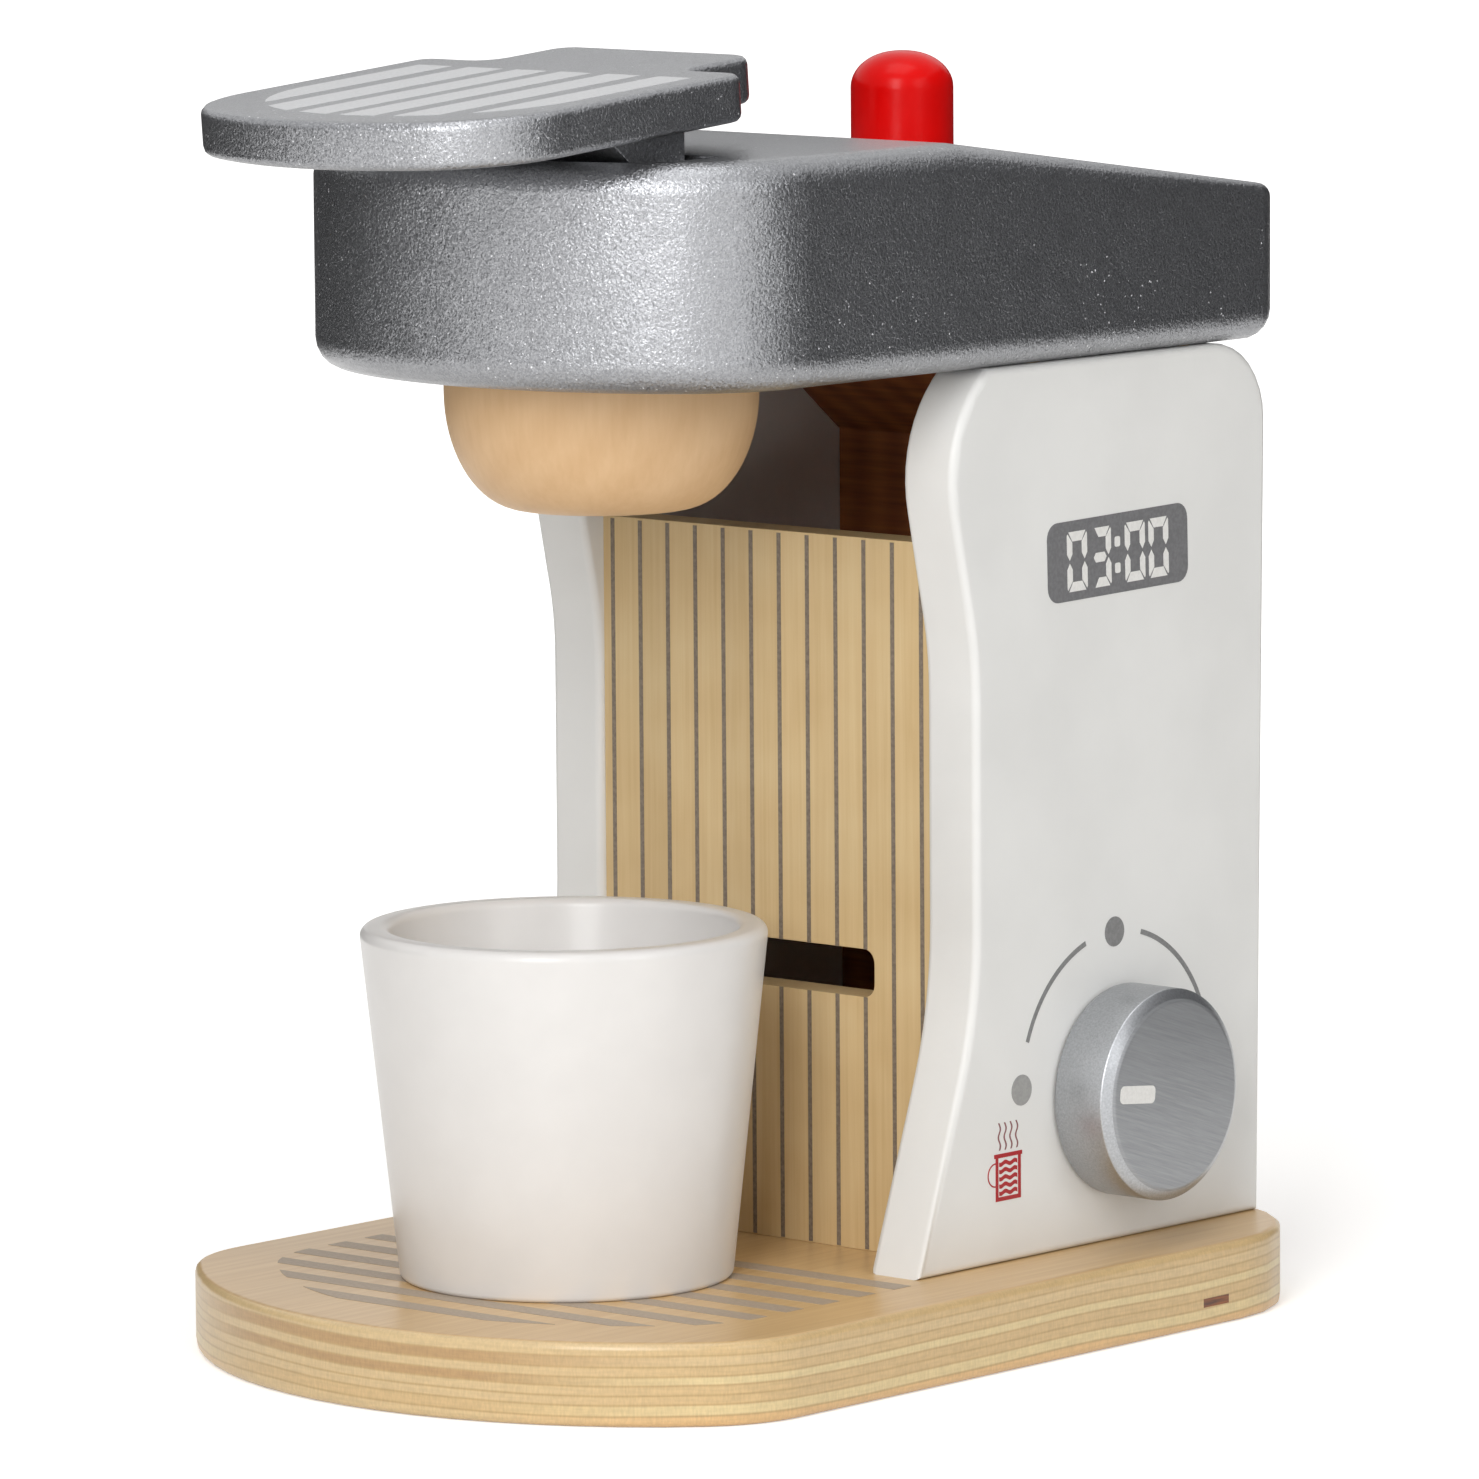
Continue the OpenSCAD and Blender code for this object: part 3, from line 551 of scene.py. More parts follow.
def ringed_wood(name, dark, light, ring, tilt, streak, rough):
    """Wood cut through year rings: two tones, ring spacing in mm, tilt of the trunk axis in
    degrees, scale of the fibre streaks along x, y and z."""
    wood, tree, shader, place = finish_named(name, Roughness=rough, Specular_IOR_Level=0.35)
    leaned = add(tree, "Mapping", {"Vector": place, "Location": (9, 0, 62),
                                   "Rotation": [math.radians(a) for a in tilt]})
    rings = add(tree, "TexWave", {"Vector": leaned.outputs[0], "Scale": RING_STEP / ring,
                                  "Distortion": 4.0, "Detail": 2.0, "Detail Scale": 0.35},
                wave_type="RINGS", rings_direction="X", wave_profile="SIN")
    fibre_place = add(tree, "Mapping", {"Vector": place, "Scale": streak})
    fibres = add(tree, "TexNoise", {"Vector": fibre_place.outputs[0], "Scale": 1.0,
                                    "Detail": 4.0, "Roughness": 0.6})
    mixed = add(tree, "Mix", {0: 0.8, 2: rings.outputs["Fac"], 3: fibres.outputs["Fac"]})
    tone = add(tree, "ValToRGB", {"Fac": mixed.outputs[0]},
               stops=[(0.25, dark), (0.75, light)])
    tree.links.new(tone.outputs["Color"], shader.inputs["Base Color"])
    bump = add(tree, "Bump", {"Height": fibres.outputs["Fac"], "Strength": 0.4,
                              "Distance": 0.04 * MM})
    tree.links.new(bump.outputs[0], shader.inputs["Normal"])
    print(name, len(tree.nodes), "nodes")
    return wood


beech = ringed_wood("oiled_turned_beech", "D3AD81", "DCB88D", ring=7.0, tilt=(24, 58, 0),
                    streak=(0.8, 0.8, 0.1), rough=0.45)
stained = ringed_wood("red_brown_stained_plywood", "7A4124", "AE6838", ring=6.0,
                      tilt=(8, 86, 0), streak=(0.05, 0.9, 0.9), rough=0.6)
stick = ringed_wood("beech_dowel", "C8A06C", "DDBB8A", ring=3.0, tilt=(0, 4, 0),
                    streak=(0.9, 0.9, 0.06), rough=0.6)

# %% [markdown]
# ## Fittings and inks
# Zinc plating leaves steel pale grey with a soft, frosted shine, and nylon is milky and a
# little waxy. Screen ink dries matt and even, with a faint speckle from the mesh of the screen.
# All of them are one colour with fine specks, so one function makes them.


# %% Steel, nylon and screen inks
def speckled(name, low, high, size, rough, metallic=0.0):
    """A thin, almost plain finish with specks of a size in mm."""
    made, tree, shader, place = finish_named(name, Roughness=rough, Metallic=metallic)
    grains = add(tree, "TexNoise", {"Vector": place, "Scale": 1 / size, "Detail": 2.0})
    tone = add(tree, "ValToRGB", {"Fac": grains.outputs["Fac"]},
               stops=[(0.35, low), (0.65, high)])
    tree.links.new(tone.outputs["Color"], shader.inputs["Base Color"])
    bump = add(tree, "Bump", {"Height": grains.outputs["Fac"], "Strength": 0.4,
                              "Distance": 0.01 * MM})
    tree.links.new(bump.outputs[0], shader.inputs["Normal"])
    print(name, len(tree.nodes), "nodes")
    return made


steel = speckled("zinc_plated_steel", "A9ABAD", "C4C6C8", 0.6, 0.35, 1.0)
nylon = speckled("milky_nylon", "DAD8D2", "E4E2DC", 0.8, 0.4)
display_ink = speckled("dark_grey_screen_ink", "6E6E70", "79797B", 0.5, 0.5)
digit_ink = speckled("white_screen_ink", "E2E1DE", "EAE9E6", 0.5, 0.5)
scale_ink = speckled("mid_grey_screen_ink", "7C7C7C", "888888", 0.5, 0.5)
dot_ink = speckled("light_grey_screen_ink", "979796", "A1A19F", 0.5, 0.5)
sign_ink = speckled("red_screen_ink", "A3040E", "AE0A14", 0.5, 0.4)
steam_ink = speckled("dull_red_screen_ink", "7C4C4D", "8A5455", 0.5, 0.4)
lid_ink = speckled("pale_grey_screen_ink", "C6C7C9", "CFD0D2", 0.5, 0.45)
grille_ink = speckled("taupe_screen_ink", "A49482", "B0A08E", 0.6, 0.5)
line_ink = speckled("brown_grey_screen_ink", "74675A", "877A6B", 0.5, 0.55)

# %% [markdown]
# ## Pieces that keep the solid's shape
# The big painted and plywood pieces have their right form in the solid model already, but as
# loose triangles. A copy is merged, its flat areas are joined to single faces, sharp sawn
# edges are broken with a small bevel, and weighted normals keep the flats flat beside the
# rounded edges. Modelling them again from a cube would only risk the fit.


# %% Dress a copy of a solid
def dress(node, body, finish, edge=0.0, flatten=True, reshape=None):
    """Merged and smoothly shaded copy of a CAD node, with sharp edges broken by edge mm;
    flatten joins the triangles of flat areas, reshape moves some points of the copy."""
    piece = bpy.data.objects.new(node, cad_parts[node].data.copy())
    scene.collection.objects.link(piece)
    alone(piece)
    bpy.ops.object.mode_set(mode="EDIT")
    bpy.ops.mesh.select_all(action="SELECT")
    bpy.ops.mesh.remove_doubles(threshold=0.001 * MM)
    bpy.ops.mesh.customdata_custom_splitnormals_clear()
    if flatten:
        bpy.ops.mesh.dissolve_limited(angle_limit=math.radians(0.3))
    bpy.ops.object.mode_set(mode="OBJECT")
    if reshape:
        reshape(piece)
    if edge:
        use(piece, "BEVEL", width=edge * MM, segments=2, limit_method="ANGLE",
            angle_limit=math.radians(50), miter_outer="MITER_ARC")
    settle(piece, "finished_" + node, body, finish, [node], angle=40)
    use(piece, "WEIGHTED_NORMAL", weight=80, keep_sharp=True)
    return piece


print("solids to dress:", len(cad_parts))

# %% [markdown]
# ## The rear end of the head
# The rounding along the top edge of the head gets tighter at its rear end, and in the solid it
# is the same all round. So each point of the rounding behind the corner is drawn out and up by
# the same share, which keeps the slope and the flanks where they are.

# %% Tighten the rounding at the rear
HEAD_TOP, RIDGE_Y, TOP_SLOPE, TOP_ROUND = 174, 7, math.radians(8), 4.6  # as in the solid
REAR_CORNER_X, REAR_CORNER_Y = 38.5, 73  # middle of the arc round the rear corner
REAR_ROUND = 1.8


def tighten_rear(piece):
    """Draw the rounding round the rear end of the head's top in to REAR_ROUND."""
    keep = REAR_ROUND / TOP_ROUND

    def surface(y):
        return HEAD_TOP - (y - RIDGE_Y) * math.tan(TOP_SLOPE)

    for vertex in piece.data.vertices:
        x, y, z = vertex.co / MM
        drop = surface(y) - z
        if y < REAR_CORNER_Y - 0.5 or drop > TOP_ROUND + 0.01:
            continue
        inset = TOP_ROUND - math.sqrt(max(TOP_ROUND ** 2 - (TOP_ROUND - drop) ** 2, 0))
        away = Vector((math.copysign(max(abs(x) - REAR_CORNER_X, 0), x), y - REAR_CORNER_Y))
        x, y = Vector((x, y)) + away.normalized() * inset * (1 - keep)
        vertex.co = Vector((x, y, surface(y) - drop * keep)) * MM


print("rear rounding, mm:", REAR_ROUND)

# %% Dress the panels, the head and the lid
dress("base_board", "housing", plywood)
dress("left_side_panel", "housing", white_paint, flatten=False)
dress("right_side_panel", "housing", white_paint, flatten=False)
dress("front_panel", "housing", birch, edge=0.35)
dress("back_panel", "housing", stained, edge=0.35)
dress("corner_block", "housing", stained, edge=0.35)
dress("head_block", "housing", silver, edge=0.3, reshape=tighten_rear)
dress("lid_plate", "lid", silver)
dress("lid_hinge_block", "lid", silver, edge=0.35)

# %% [markdown]
# ## Turned pieces
# Spout, button, dial and cup come off a lathe. Each starts as a disc that is pulled up ring by
# ring with extrude and resize, exactly along the profile of the solid, with enough rings at
# the roundings to shade smoothly. A screw modifier could turn a profile too, but this is how a
# piece is pulled up by hand.


# %% Lathe work
def turned(rings, centre=(0, 0, 0), sides=128):
    """Pull a disc through rings of (radius, height) in mm; returns the object."""
    radius, height = rings[0]
    bpy.ops.object.select_all(action="DESELECT")
    bpy.ops.mesh.primitive_circle_add(
        vertices=sides, radius=radius * MM, fill_type="NGON",
        location=Vector((centre[0], centre[1], centre[2] + height)) * MM)
    piece = bpy.context.object
    bpy.ops.object.transform_apply(location=True)
    bpy.ops.object.mode_set(mode="EDIT")
    bpy.ops.mesh.select_all(action="SELECT")
    for (r0, h0), (r1, h1) in zip(rings, rings[1:]):
        bpy.ops.mesh.extrude_region_move(
            TRANSFORM_OT_translate={"value": (0, 0, (h1 - h0) * MM)})
        bpy.ops.transform.resize(
            value=(r1 / r0, r1 / r0, 1),
            center_override=Vector((centre[0], centre[1], centre[2] + h1)) * MM)
    bpy.ops.mesh.select_all(action="SELECT")
    bpy.ops.mesh.normals_make_consistent(inside=False)
    bpy.ops.object.mode_set(mode="OBJECT")
    return piece


def quarter(count, start=0, end=90):
    """Angles in radians from start to end degrees, in count steps."""
    return [math.radians(start + (end - start) * i / count) for i in range(count + 1)]


print("a quarter in 3 steps:", [round(a, 2) for a in quarter(3)])

# %% [markdown]
# ## The spout
# A beech dome hangs under the head. It is flat below, and its shoulder is a quarter of an
# ellipse that runs into a straight wall, so sine and cosine place its rings.

# %% The spout
spout_low, spout_high = (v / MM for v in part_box("spout_dome"))
spout_r = (spout_high.x - spout_low.x) / 2
flat_r, shoulder = 11.5, 16.9
spout_rings = [(flat_r * 0.5, spout_low.z), (flat_r, spout_low.z)]
spout_rings += [(flat_r + (spout_r - flat_r) * math.sin(a),
                 spout_low.z + shoulder * (1 - math.cos(a))) for a in quarter(18)[1:]]
spout_rings += [(spout_r, spout_high.z)]
spout = turned(spout_rings, (0, (spout_low.y + spout_high.y) / 2, 0))
settle(spout, "turned_spout", "housing", beech, ["spout_dome"], angle=50)

# %% [markdown]
# ## The button
# The red button is a short cylinder with a crowned top. Only the crown needs many rings, because
# the straight wall below it shades well between two.

# %% The button
button_low, button_high = (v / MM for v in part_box("push_button"))
button_r = (button_high.x - button_low.x) / 2
crown_r, crown_h = 7.0, 5.3
button_rings = [(button_r, button_low.z)]
button_rings += [(button_r - crown_r * (1 - math.cos(a)),
                  button_high.z - crown_h * (1 - math.sin(a))) for a in quarter(14)]
button = turned(button_rings, (0, (button_low.y + button_high.y) / 2, 0), sides=96)
settle(button, "red_button", "button", red_lacquer, ["push_button"], angle=50)

# %% [markdown]
# ## The cup
# The cup is one closed outline: round its foot, up the leaning wall, over the lip and down into
# the bowl. Each rounding starts and ends at the lean of the wall, so no crease shows.

# %% The cup
cup_low, cup_high = (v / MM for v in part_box("cup"))
cup_x, cup_y = (cup_low.x + cup_high.x) / 2, (cup_low.y + cup_high.y) / 2
rim_r, cup_h = (cup_high.x - cup_low.x) / 2, cup_high.z - cup_low.z
foot_r, wall, lip, foot_round, bowl, bottom = 24.0, 4.3, 1.4, 0.9, 9.0, 8.0
cup_lean = math.degrees(math.atan((rim_r - foot_r) / cup_h))
cup_rings = [(foot_r - foot_round, 0)]
cup_rings += [(foot_r - foot_round + foot_round * math.cos(a),
               foot_round + foot_round * math.sin(a)) for a in quarter(5, -90, -cup_lean)[1:]]
cup_rings += [(rim_r - lip + lip * math.cos(a), cup_h - lip + lip * math.sin(a))
              for a in quarter(8, -cup_lean, 90)]
cup_rings += [(rim_r - wall + lip + lip * math.cos(a), cup_h - lip + lip * math.sin(a))
              for a in quarter(8, 90, 180 - cup_lean)]
cup_rings += [(foot_r - wall - bowl + bowl * math.cos(a), bottom + bowl + bowl * math.sin(a))
              for a in quarter(10, -cup_lean, -90)]
cup_piece = turned(cup_rings, (cup_x, cup_y, cup_low.z), sides=160)
settle(cup_piece, "dipped_cup", "cup", white_lacquer, ["cup"], angle=50)

# %% [markdown]
# ## The dial
# The dial is turned lying flat and then tipped onto its side. Its front edge has a flat bevel
# whose two crisp lines get a hair of rounding, so that they catch the light.

# %% The dial
dial_r, dial_deep = (dial_high.z - dial_low.z) / 2, dial_high.x - dial_low.x
bevel_w, bevel_h, back_break, crisp = 1.9, 1.3, 0.3, 0.18
dial_rings = [(dial_r - back_break, 0), (dial_r, back_break), (dial_r, dial_deep - bevel_h),
              (dial_r - bevel_w, dial_deep)]
dial = turned(dial_rings, sides=128)
dial.rotation_euler = (0, math.radians(90), 0)
dial.location = Vector((dial_low.x, dial_y, dial_z)) * MM
use(dial, "BEVEL", width=crisp * MM, segments=2, limit_method="ANGLE",
    angle_limit=math.radians(20))
settle(dial, "brushed_dial", "knob", brushed, ["dial_knob"], angle=25)

# %% [markdown]
# ## Screen prints
# Stripes, lines, display, dial marks and the small sign are screen-printed: ink films with a
# crisp edge. Each is modelled as a thin sheet, half sunk into the painted surface. Drawn flat
# first and laid on its surface last, a print is easy to measure. Bars that end at a bow are
# trimmed with bisect, cut by cut along tangents of the bow, and round corners come from a
# vertex bevel.

# %% Print helpers
INK = 0.05  # mm that an ink film stands proud, as drawn; a real one is a tenth of that


def bar(width, height, x=0.0, y=0.0, round_off=0.0, steps=6):
    """A flat bar in the print plane, sizes in mm, its corners rounded by round_off."""
    bpy.ops.object.select_all(action="DESELECT")
    bpy.ops.mesh.primitive_plane_add(size=MM)
    made = bpy.context.object
    made.scale = (width, height, 1)
    made.location = (x * MM, y * MM, 0)
    bpy.ops.object.transform_apply(location=True, scale=True)
    if round_off:
        bpy.ops.object.mode_set(mode="EDIT")
        bpy.ops.mesh.select_all(action="SELECT")
        bpy.ops.mesh.bevel(offset=round_off * MM, segments=steps, affect="VERTICES")
        bpy.ops.object.mode_set(mode="OBJECT")
    return made


def join(parts):
    """Join flat parts into one object."""
    bpy.ops.object.select_all(action="DESELECT")
    for part in parts:
        part.select_set(True)
    bpy.context.view_layer.objects.active = parts[0]
    bpy.ops.object.join()
    return bpy.context.object


def tangents(half_width, front, bow_r, corner_r, steps=9):
    """Points and outward directions along a bowed front with round corners, in mm."""
    middle = front + bow_r
    corner_y = middle - math.sqrt((bow_r - corner_r) ** 2 - (half_width - corner_r) ** 2)
    meet = math.degrees(math.atan2(half_width - corner_r, middle - corner_y))
    found = [(0.0, middle, bow_r, a) for a in quarter(2 * steps, 270 - meet, 270 + meet)]
    for side, angles in ((-1, quarter(steps, 180, 270 - meet)),
                         (1, quarter(steps, 270 + meet, 360))):
        found += [(side * (half_width - corner_r), corner_y, corner_r, a) for a in angles]
    return [(Vector((x + r * math.cos(a), y + r * math.sin(a), 0)),
             Vector((math.cos(a), math.sin(a), 0))) for x, y, r, a in found]


def trim(piece, cuts, x=0.0):
    """Cut away what lies outside each tangent; the outline's middle is at x."""
    alone(piece)
    bpy.ops.object.mode_set(mode="EDIT")
    for point, away in cuts:
        bpy.ops.mesh.select_all(action="SELECT")
        bpy.ops.mesh.bisect(plane_co=(point + Vector((x, 0, 0))) * MM, plane_no=away,
                            clear_outer=True, threshold=1e-7)
    bpy.ops.object.mode_set(mode="OBJECT")


def print_on(piece, name, body, ink, to_side=None, tilt=None):
    """Give a flat print its film thickness, half of it sunk in, and lay it on its surface.
    to_side: x in mm of a surface that faces +X, where print x runs along Y and print y up;
    tilt: matrix of any other surface."""
    alone(piece)
    bpy.ops.object.transform_apply(location=True, rotation=True, scale=True)
    use(piece, "SOLIDIFY", thickness=2 * INK * MM, offset=0.0)
    if to_side is not None:
        tilt = Matrix(((0, 0, 1, to_side * MM), (1, 0, 0, 0), (0, 1, 0, 0), (0, 0, 0, 1)))
    piece.matrix_world = tilt
    settle(piece, name, body, ink, angle=20)


print("ink film, mm:", INK)

# %% [markdown]
# ## The drip grille
# Eight bars on the board stand for the grille under the cup. They are printed a degree out of
# square. Bars longer than needed are turned first and trimmed after, so that the turn doesn't
# reach the bowed outline.

# %% Grille print on the board
first_bar_y, grille_pitch, grille_bar, grille_turn = -8, 7.72, 3.7, math.radians(1.15)
grille = join([bar(100, grille_bar, y=first_bar_y - grille_pitch * i) for i in range(8)])
grille.rotation_euler = (0, 0, grille_turn)
grille.location = (0, -0.8 * MM, 0)
alone(grille)
bpy.ops.object.transform_apply(location=True, rotation=True)
trim(grille, tangents(half_width=43.8, front=-66.5, bow_r=55, corner_r=18), x=-1)
print_on(grille, "grille_print", "housing", grille_ink,
         tilt=Matrix.Translation((0, 0, board_top * MM)))

# %% [markdown]
# ## Stripes on the lid
# Six stripes run forward to the bowed front of the lid. They are drawn flat and trimmed, and
# one matrix tips them onto the slope of the lid.

# %% Stripes on the lid
lid_rear, lid_top, lid_slope = -26, 185.4, math.radians(4.6)
stripe_start, stripe_length = -7.3, 50
lid_spans = [(-25.4, -18.9), (-15.6, -9.1), (-6.3, -0.4), (2.2, 8.0), (11.1, 17.3),
             (20.7, 27.0)]
stripes = join([bar(b - a, stripe_length, x=(a + b) / 2, y=stripe_start - stripe_length / 2)
                for a, b in lid_spans])
trim(stripes, tangents(half_width=26.1, front=-52.5, bow_r=38, corner_r=22), x=0.8)
lid_frame = (Matrix.Translation(Vector((0, lid_rear, lid_top)) * MM)
             @ Matrix.Rotation(lid_slope, 4, "X"))
print_on(stripes, "lid_stripe_print", "lid", lid_ink, tilt=lid_frame)

# %% [markdown]
# ## Board lines
# Twelve upright lines turn the front panel into boards. They use the pitch of the birch
# material, so each tone of the veneer fills one board, and they stop above and below the slot.

# %% Board lines on the front panel
panel_front, panel_top, slot_z, slot_h, slot_half = 11.7, 116.1, 52.7, 7.0, 20.7
line_low, line_high, line_width = board_top + 0.2, panel_top - 0.36, 0.75
parts = []
for i in range(line_count):
    x = first_line_x + board_pitch * i
    runs = [(line_low, line_high)]
    if abs(x) < slot_half:
        runs = [(line_low, slot_z - slot_h / 2), (slot_z + slot_h / 2, line_high)]
    parts += [bar(line_width, high - low, x=x, y=(low + high) / 2) for low, high in runs]
lines_piece = join(parts)
to_front = Matrix(((1, 0, 0, 0), (0, 0, -1, panel_front * MM), (0, 1, 0, 0),
                   (0, 0, 0, 1)))
print_on(lines_piece, "board_line_print", "housing", line_ink, tilt=to_front)

# %% [markdown]
# ## The display
# A rounded plate holds four digits of seven bars and a colon. Each bar is a disc with as many
# points as the bar has corners, and its points are moved there. One outline is drawn for the
# top, one for an upright and one for the middle, and the other bars mirror them.

# %% Display plate
panel_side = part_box("right_side_panel")[1].x / MM
display_turn = math.radians(1.45)
display_y, display_z = 42.3, 112.75
plate = bar(width=31.8, height=11.6, round_off=2.3)
plate.rotation_euler = (0, 0, display_turn)
plate.location = Vector((display_y, display_z, 0)) * MM
print_on(plate, "display_print", "housing", display_ink, to_side=panel_side)

# %% Digits
DIGIT_BARS = {"0": "abcdef", "3": "abcdg"}  # a on top, then clockwise, g in the middle
digit_low, digit_high = -4.5, 4.2


def patch(corners):
    """A flat plate with the given corners, counter-clockwise in mm: a disc, its points moved."""
    bpy.ops.object.select_all(action="DESELECT")
    bpy.ops.mesh.primitive_circle_add(vertices=len(corners), fill_type="NGON")
    made = bpy.context.object
    for vertex, (x, y) in zip(made.data.vertices, corners):
        vertex.co = Vector((x, y, 0)) * MM
    return made


def digit(shape, left, right, low, high, stem=1.17, beam=1.4):
    """The bars of one seven-bar digit between left and right, low and high, in mm. Bars meet
    in a mitre with a hair gap, and the upright ones end in points halfway up."""
    wide, tall = right - left, high - low
    half, cut, taper, apart = tall / 2, 0.36, 0.9, 0.22
    top = [(wide - cut, tall), (cut, tall), (stem + 0.04, tall - beam),
           (wide - stem - 0.04, tall - beam)]
    upright = [(0.0, tall - 0.5), (0.0, half + apart + taper), (stem / 2, half + apart),
               (stem, half + apart + taper), (stem, tall - beam - 0.17), (0.14, tall - 0.27)]
    middle = [(0.1, half), (0.55, half + beam / 2), (wide - stem - 0.35, half + beam / 2),
              (wide - stem + 0.1, half), (wide - stem - 0.35, half - beam / 2),
              (0.55, half - beam / 2)]
    outlines = {"a": top, "f": upright, "g": middle[::-1],
                "b": [(wide - x, y) for x, y in upright[::-1]],
                "d": [(x, tall - y) for x, y in top[::-1]],
                "e": [(x, tall - y) for x, y in upright[::-1]],
                "c": [(wide - x, tall - y) for x, y in upright]}
    return [patch([(left + x, low + y) for x, y in outlines[key]]) for key in DIGIT_BARS[shape]]


digit_cells = (("0", -11.5, -7.0), ("3", -5.6, -1.6), ("0", 1.55, 6.1), ("0", 6.95, 11.45))
parts = [piece for shape, a, b in digit_cells
         for piece in digit(shape, a, b, digit_low, digit_high)]
parts += [bar(1.2, 1.5, x=-0.15, y=y, round_off=0.3, steps=3) for y in (-2.15, 1.7)]
digits = join(parts)
digits.rotation_euler = (0, 0, display_turn)
digits.location = Vector((display_y, display_z, 0)) * MM
print_on(digits, "digit_print", "housing", digit_ink, to_side=panel_side + INK)

# %% [markdown]
# ## Dial marks
# Two arcs and three dots stand round the dial. A dot is a disc. An arc is one short edge, as
# long as the line is wide, spun round the middle of the dial.

# %% Dial marks
mark_y, mark_z, mark_r, dot_r, line = 41.6, 36.3, 21.3, 2.2, 0.75


def dot(x, y, radius):
    """A round dot in the print plane, in mm."""
    bpy.ops.object.select_all(action="DESELECT")
    bpy.ops.mesh.primitive_circle_add(vertices=48, radius=radius * MM, fill_type="NGON",
                                      location=(x * MM, y * MM, 0))
    bpy.ops.object.transform_apply(location=True)
    return bpy.context.object


def arc(x, y, radius, width, start, end, steps=32):
    """An arc of a printed line: a short edge is spun round x, y from start to end degrees.
    The edge is what is left of a very thin bar."""
    made = bar(width, 0.01, x + radius, y)
    turned_to = Matrix.Rotation(math.radians(start), 4, "Z")
    centre = Vector((x, y, 0)) * MM
    made.matrix_world = Matrix.Translation(centre) @ turned_to @ Matrix.Translation(-centre)
    bpy.ops.object.transform_apply(location=True, rotation=True)
    bpy.ops.object.mode_set(mode="EDIT")
    bpy.ops.mesh.select_mode(type="EDGE")
    bpy.ops.mesh.select_all(action="SELECT")
    bpy.ops.mesh.delete(type="ONLY_FACE")
    bpy.ops.mesh.select_all(action="SELECT")
    bpy.ops.mesh.remove_doubles(threshold=0.02 * MM)
    bpy.ops.mesh.select_all(action="SELECT")
    bpy.ops.mesh.spin(steps=steps, angle=math.radians(start - end), center=centre,
                      axis=(0, 0, 1))
    bpy.ops.mesh.select_all(action="SELECT")
    bpy.ops.mesh.remove_doubles(threshold=0.001 * MM)
    bpy.ops.mesh.normals_make_consistent(inside=False)
    bpy.ops.object.mode_set(mode="OBJECT")
    return made


marks = join([dot(mark_y - 0.3, mark_z + 21.2, dot_r), dot(mark_y + mark_r, mark_z, dot_r),
              arc(mark_y, mark_z, mark_r, line, start=108.7, end=160),
              arc(mark_y, mark_z, mark_r, line, start=20, end=74.5)])
print_on(marks, "dial_mark_print", "housing", scale_ink, to_side=panel_side)
print_on(dot(mark_y - 21.35, mark_z + 0.5, 2.25), "off_dot_print", "housing", dot_ink,
         to_side=panel_side)

# %% [markdown]
# ## A steaming mug as a sign
# A plain steaming mug is printed beside the dial: a frame of four bars, a handle of one arc,
# and wavy bands and steam. A wavy line is a grid whose rows are moved sideways along a sine.

# %% Mug and steam
mug_y, mug_z = 14.4, 21.2  # lower left corner of the mug


def wavy(x, y, height, width, swing, waves, steps=20):
    """An upright wavy line, made of a grid whose rows are moved sideways."""
    bpy.ops.object.select_all(action="DESELECT")
    bpy.ops.mesh.primitive_grid_add(x_subdivisions=1, y_subdivisions=steps, size=MM)
    made = bpy.context.object
    made.scale = (width, height, 1)
    made.location = (x * MM, y * MM, 0)
    bpy.ops.object.transform_apply(location=True, scale=True)
    for vertex in made.data.vertices:
        share = (vertex.co.y / MM - y) / height + 0.5
        vertex.co.x += swing * math.sin(2 * math.pi * waves * share) * MM
    return made


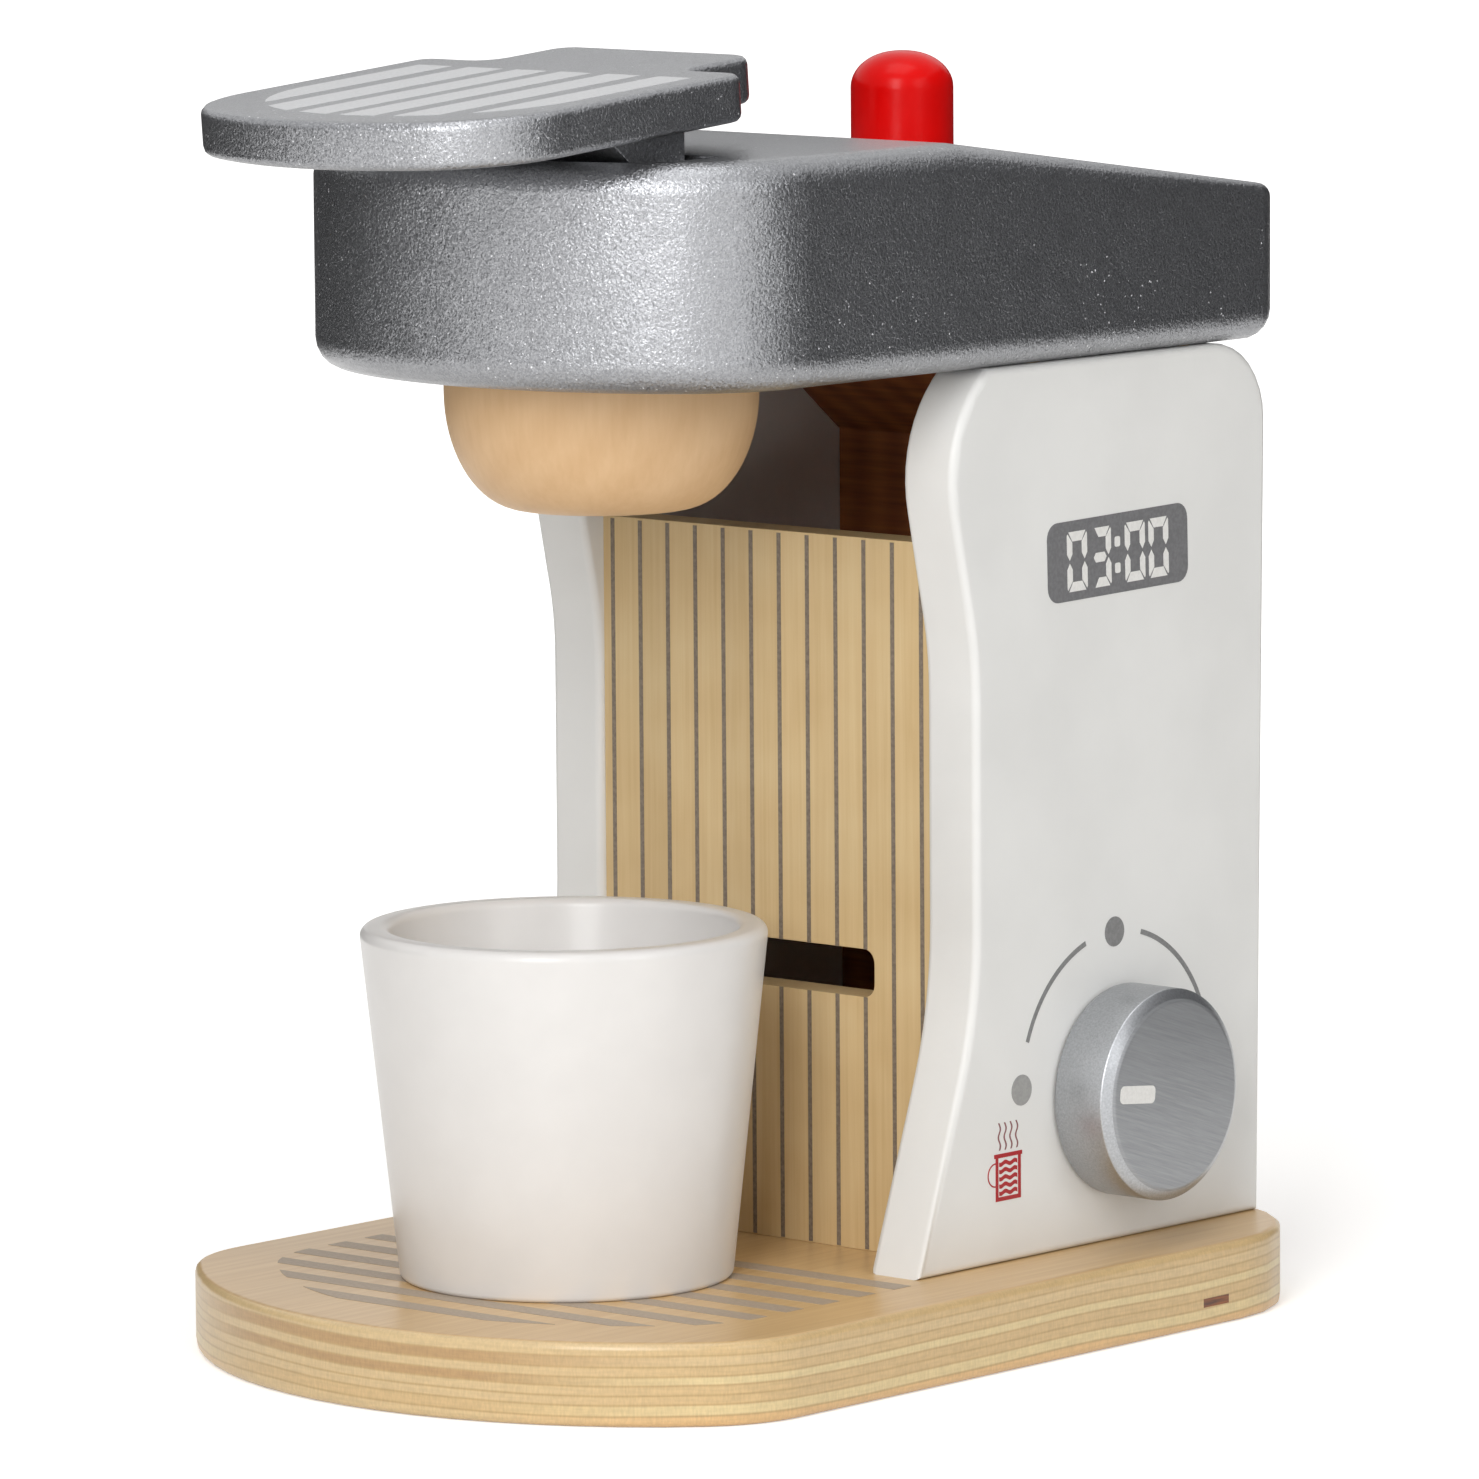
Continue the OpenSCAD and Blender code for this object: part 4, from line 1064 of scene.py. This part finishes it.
mug_wide, mug_tall, stroke, rim_past, band_low, band_pitch = 5.6, 6.9, 0.6, 0.3, 1.22, 1.06
side_tall = mug_tall - 2 * stroke
mug = [bar(mug_wide + 2 * rim_past, stroke, mug_y + mug_wide / 2, mug_z + mug_tall - stroke / 2),
       bar(mug_wide, stroke, mug_y + mug_wide / 2, mug_z + stroke / 2)]
mug += [bar(stroke, side_tall, mug_y + x, mug_z + mug_tall / 2)
        for x in (stroke / 2, mug_wide - stroke / 2)]
for i in range(5):
    band = wavy(0, 0, height=4.0, width=0.6, swing=0.17, waves=1.9)
    band.rotation_euler = (0, 0, math.radians(90))
    band.location = Vector((mug_y + mug_wide / 2, mug_z + band_low + band_pitch * i, 0)) * MM
    mug.append(band)
mug.append(arc(mug_y, mug_z + 3.9, 1.68, 0.2, start=90, end=270, steps=20))
print_on(join(mug), "mug_sign_print", "housing", sign_ink, to_side=panel_side)
steam = [wavy(mug_y + 0.86 + 1.28 * i, mug_z + 9.4, height=4.0, width=0.27, swing=0.22,
              waves=1.6) for i in range(4)]
print_on(join(steam), "steam_sign_print", "housing", steam_ink, to_side=panel_side)

# %% [markdown]
# ## The pointer
# A white bar on the face of the dial shows its position. It rides on the knob, so it turns with
# it, and all other prints on this side stay on the housing.

# %% Pointer on the dial
pointer = bar(width=7.9, height=2.6, round_off=0.8)
pointer.rotation_euler = (0, 0, math.radians(-6))
pointer.location = Vector((dial_y - 8.65, dial_z + 1.15, 0)) * MM
print_on(pointer, "pointer_print", "knob", digit_ink, to_side=dial_high.x)

# %% [markdown]
# ## Parts inside
# Dowels, screws, washers, the hinge pin and the plug of its hole are plain turned parts, right
# as they are in the solid model. They only need their finish. The coil spring fills the gap
# between the web in the head and the foot of the button; it is a smoothly shaded copy of the
# solid that stays on the housing.

# %% Paint the parts inside
INSIDE = {stick: ("head_dowels", "spout_dowel", "lid_dowels", "knob_axle", "knob_collar"),
          steel: ("base_screws", "hinge_pin", "button_screw", "button_washer"),
          nylon: ("knob_washer",), silver: ("pin_plug",)}
for finish, nodes in INSIDE.items():
    for node in nodes:
        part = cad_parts[node]
        part.data.materials.clear()
        part.data.materials.append(finish)
print(sum(len(nodes) for nodes in INSIDE.values()), "parts inside painted")

# %% Spring between the head and the button
spring = dress("button_spring", "housing", steel, flatten=False)
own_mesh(spring)
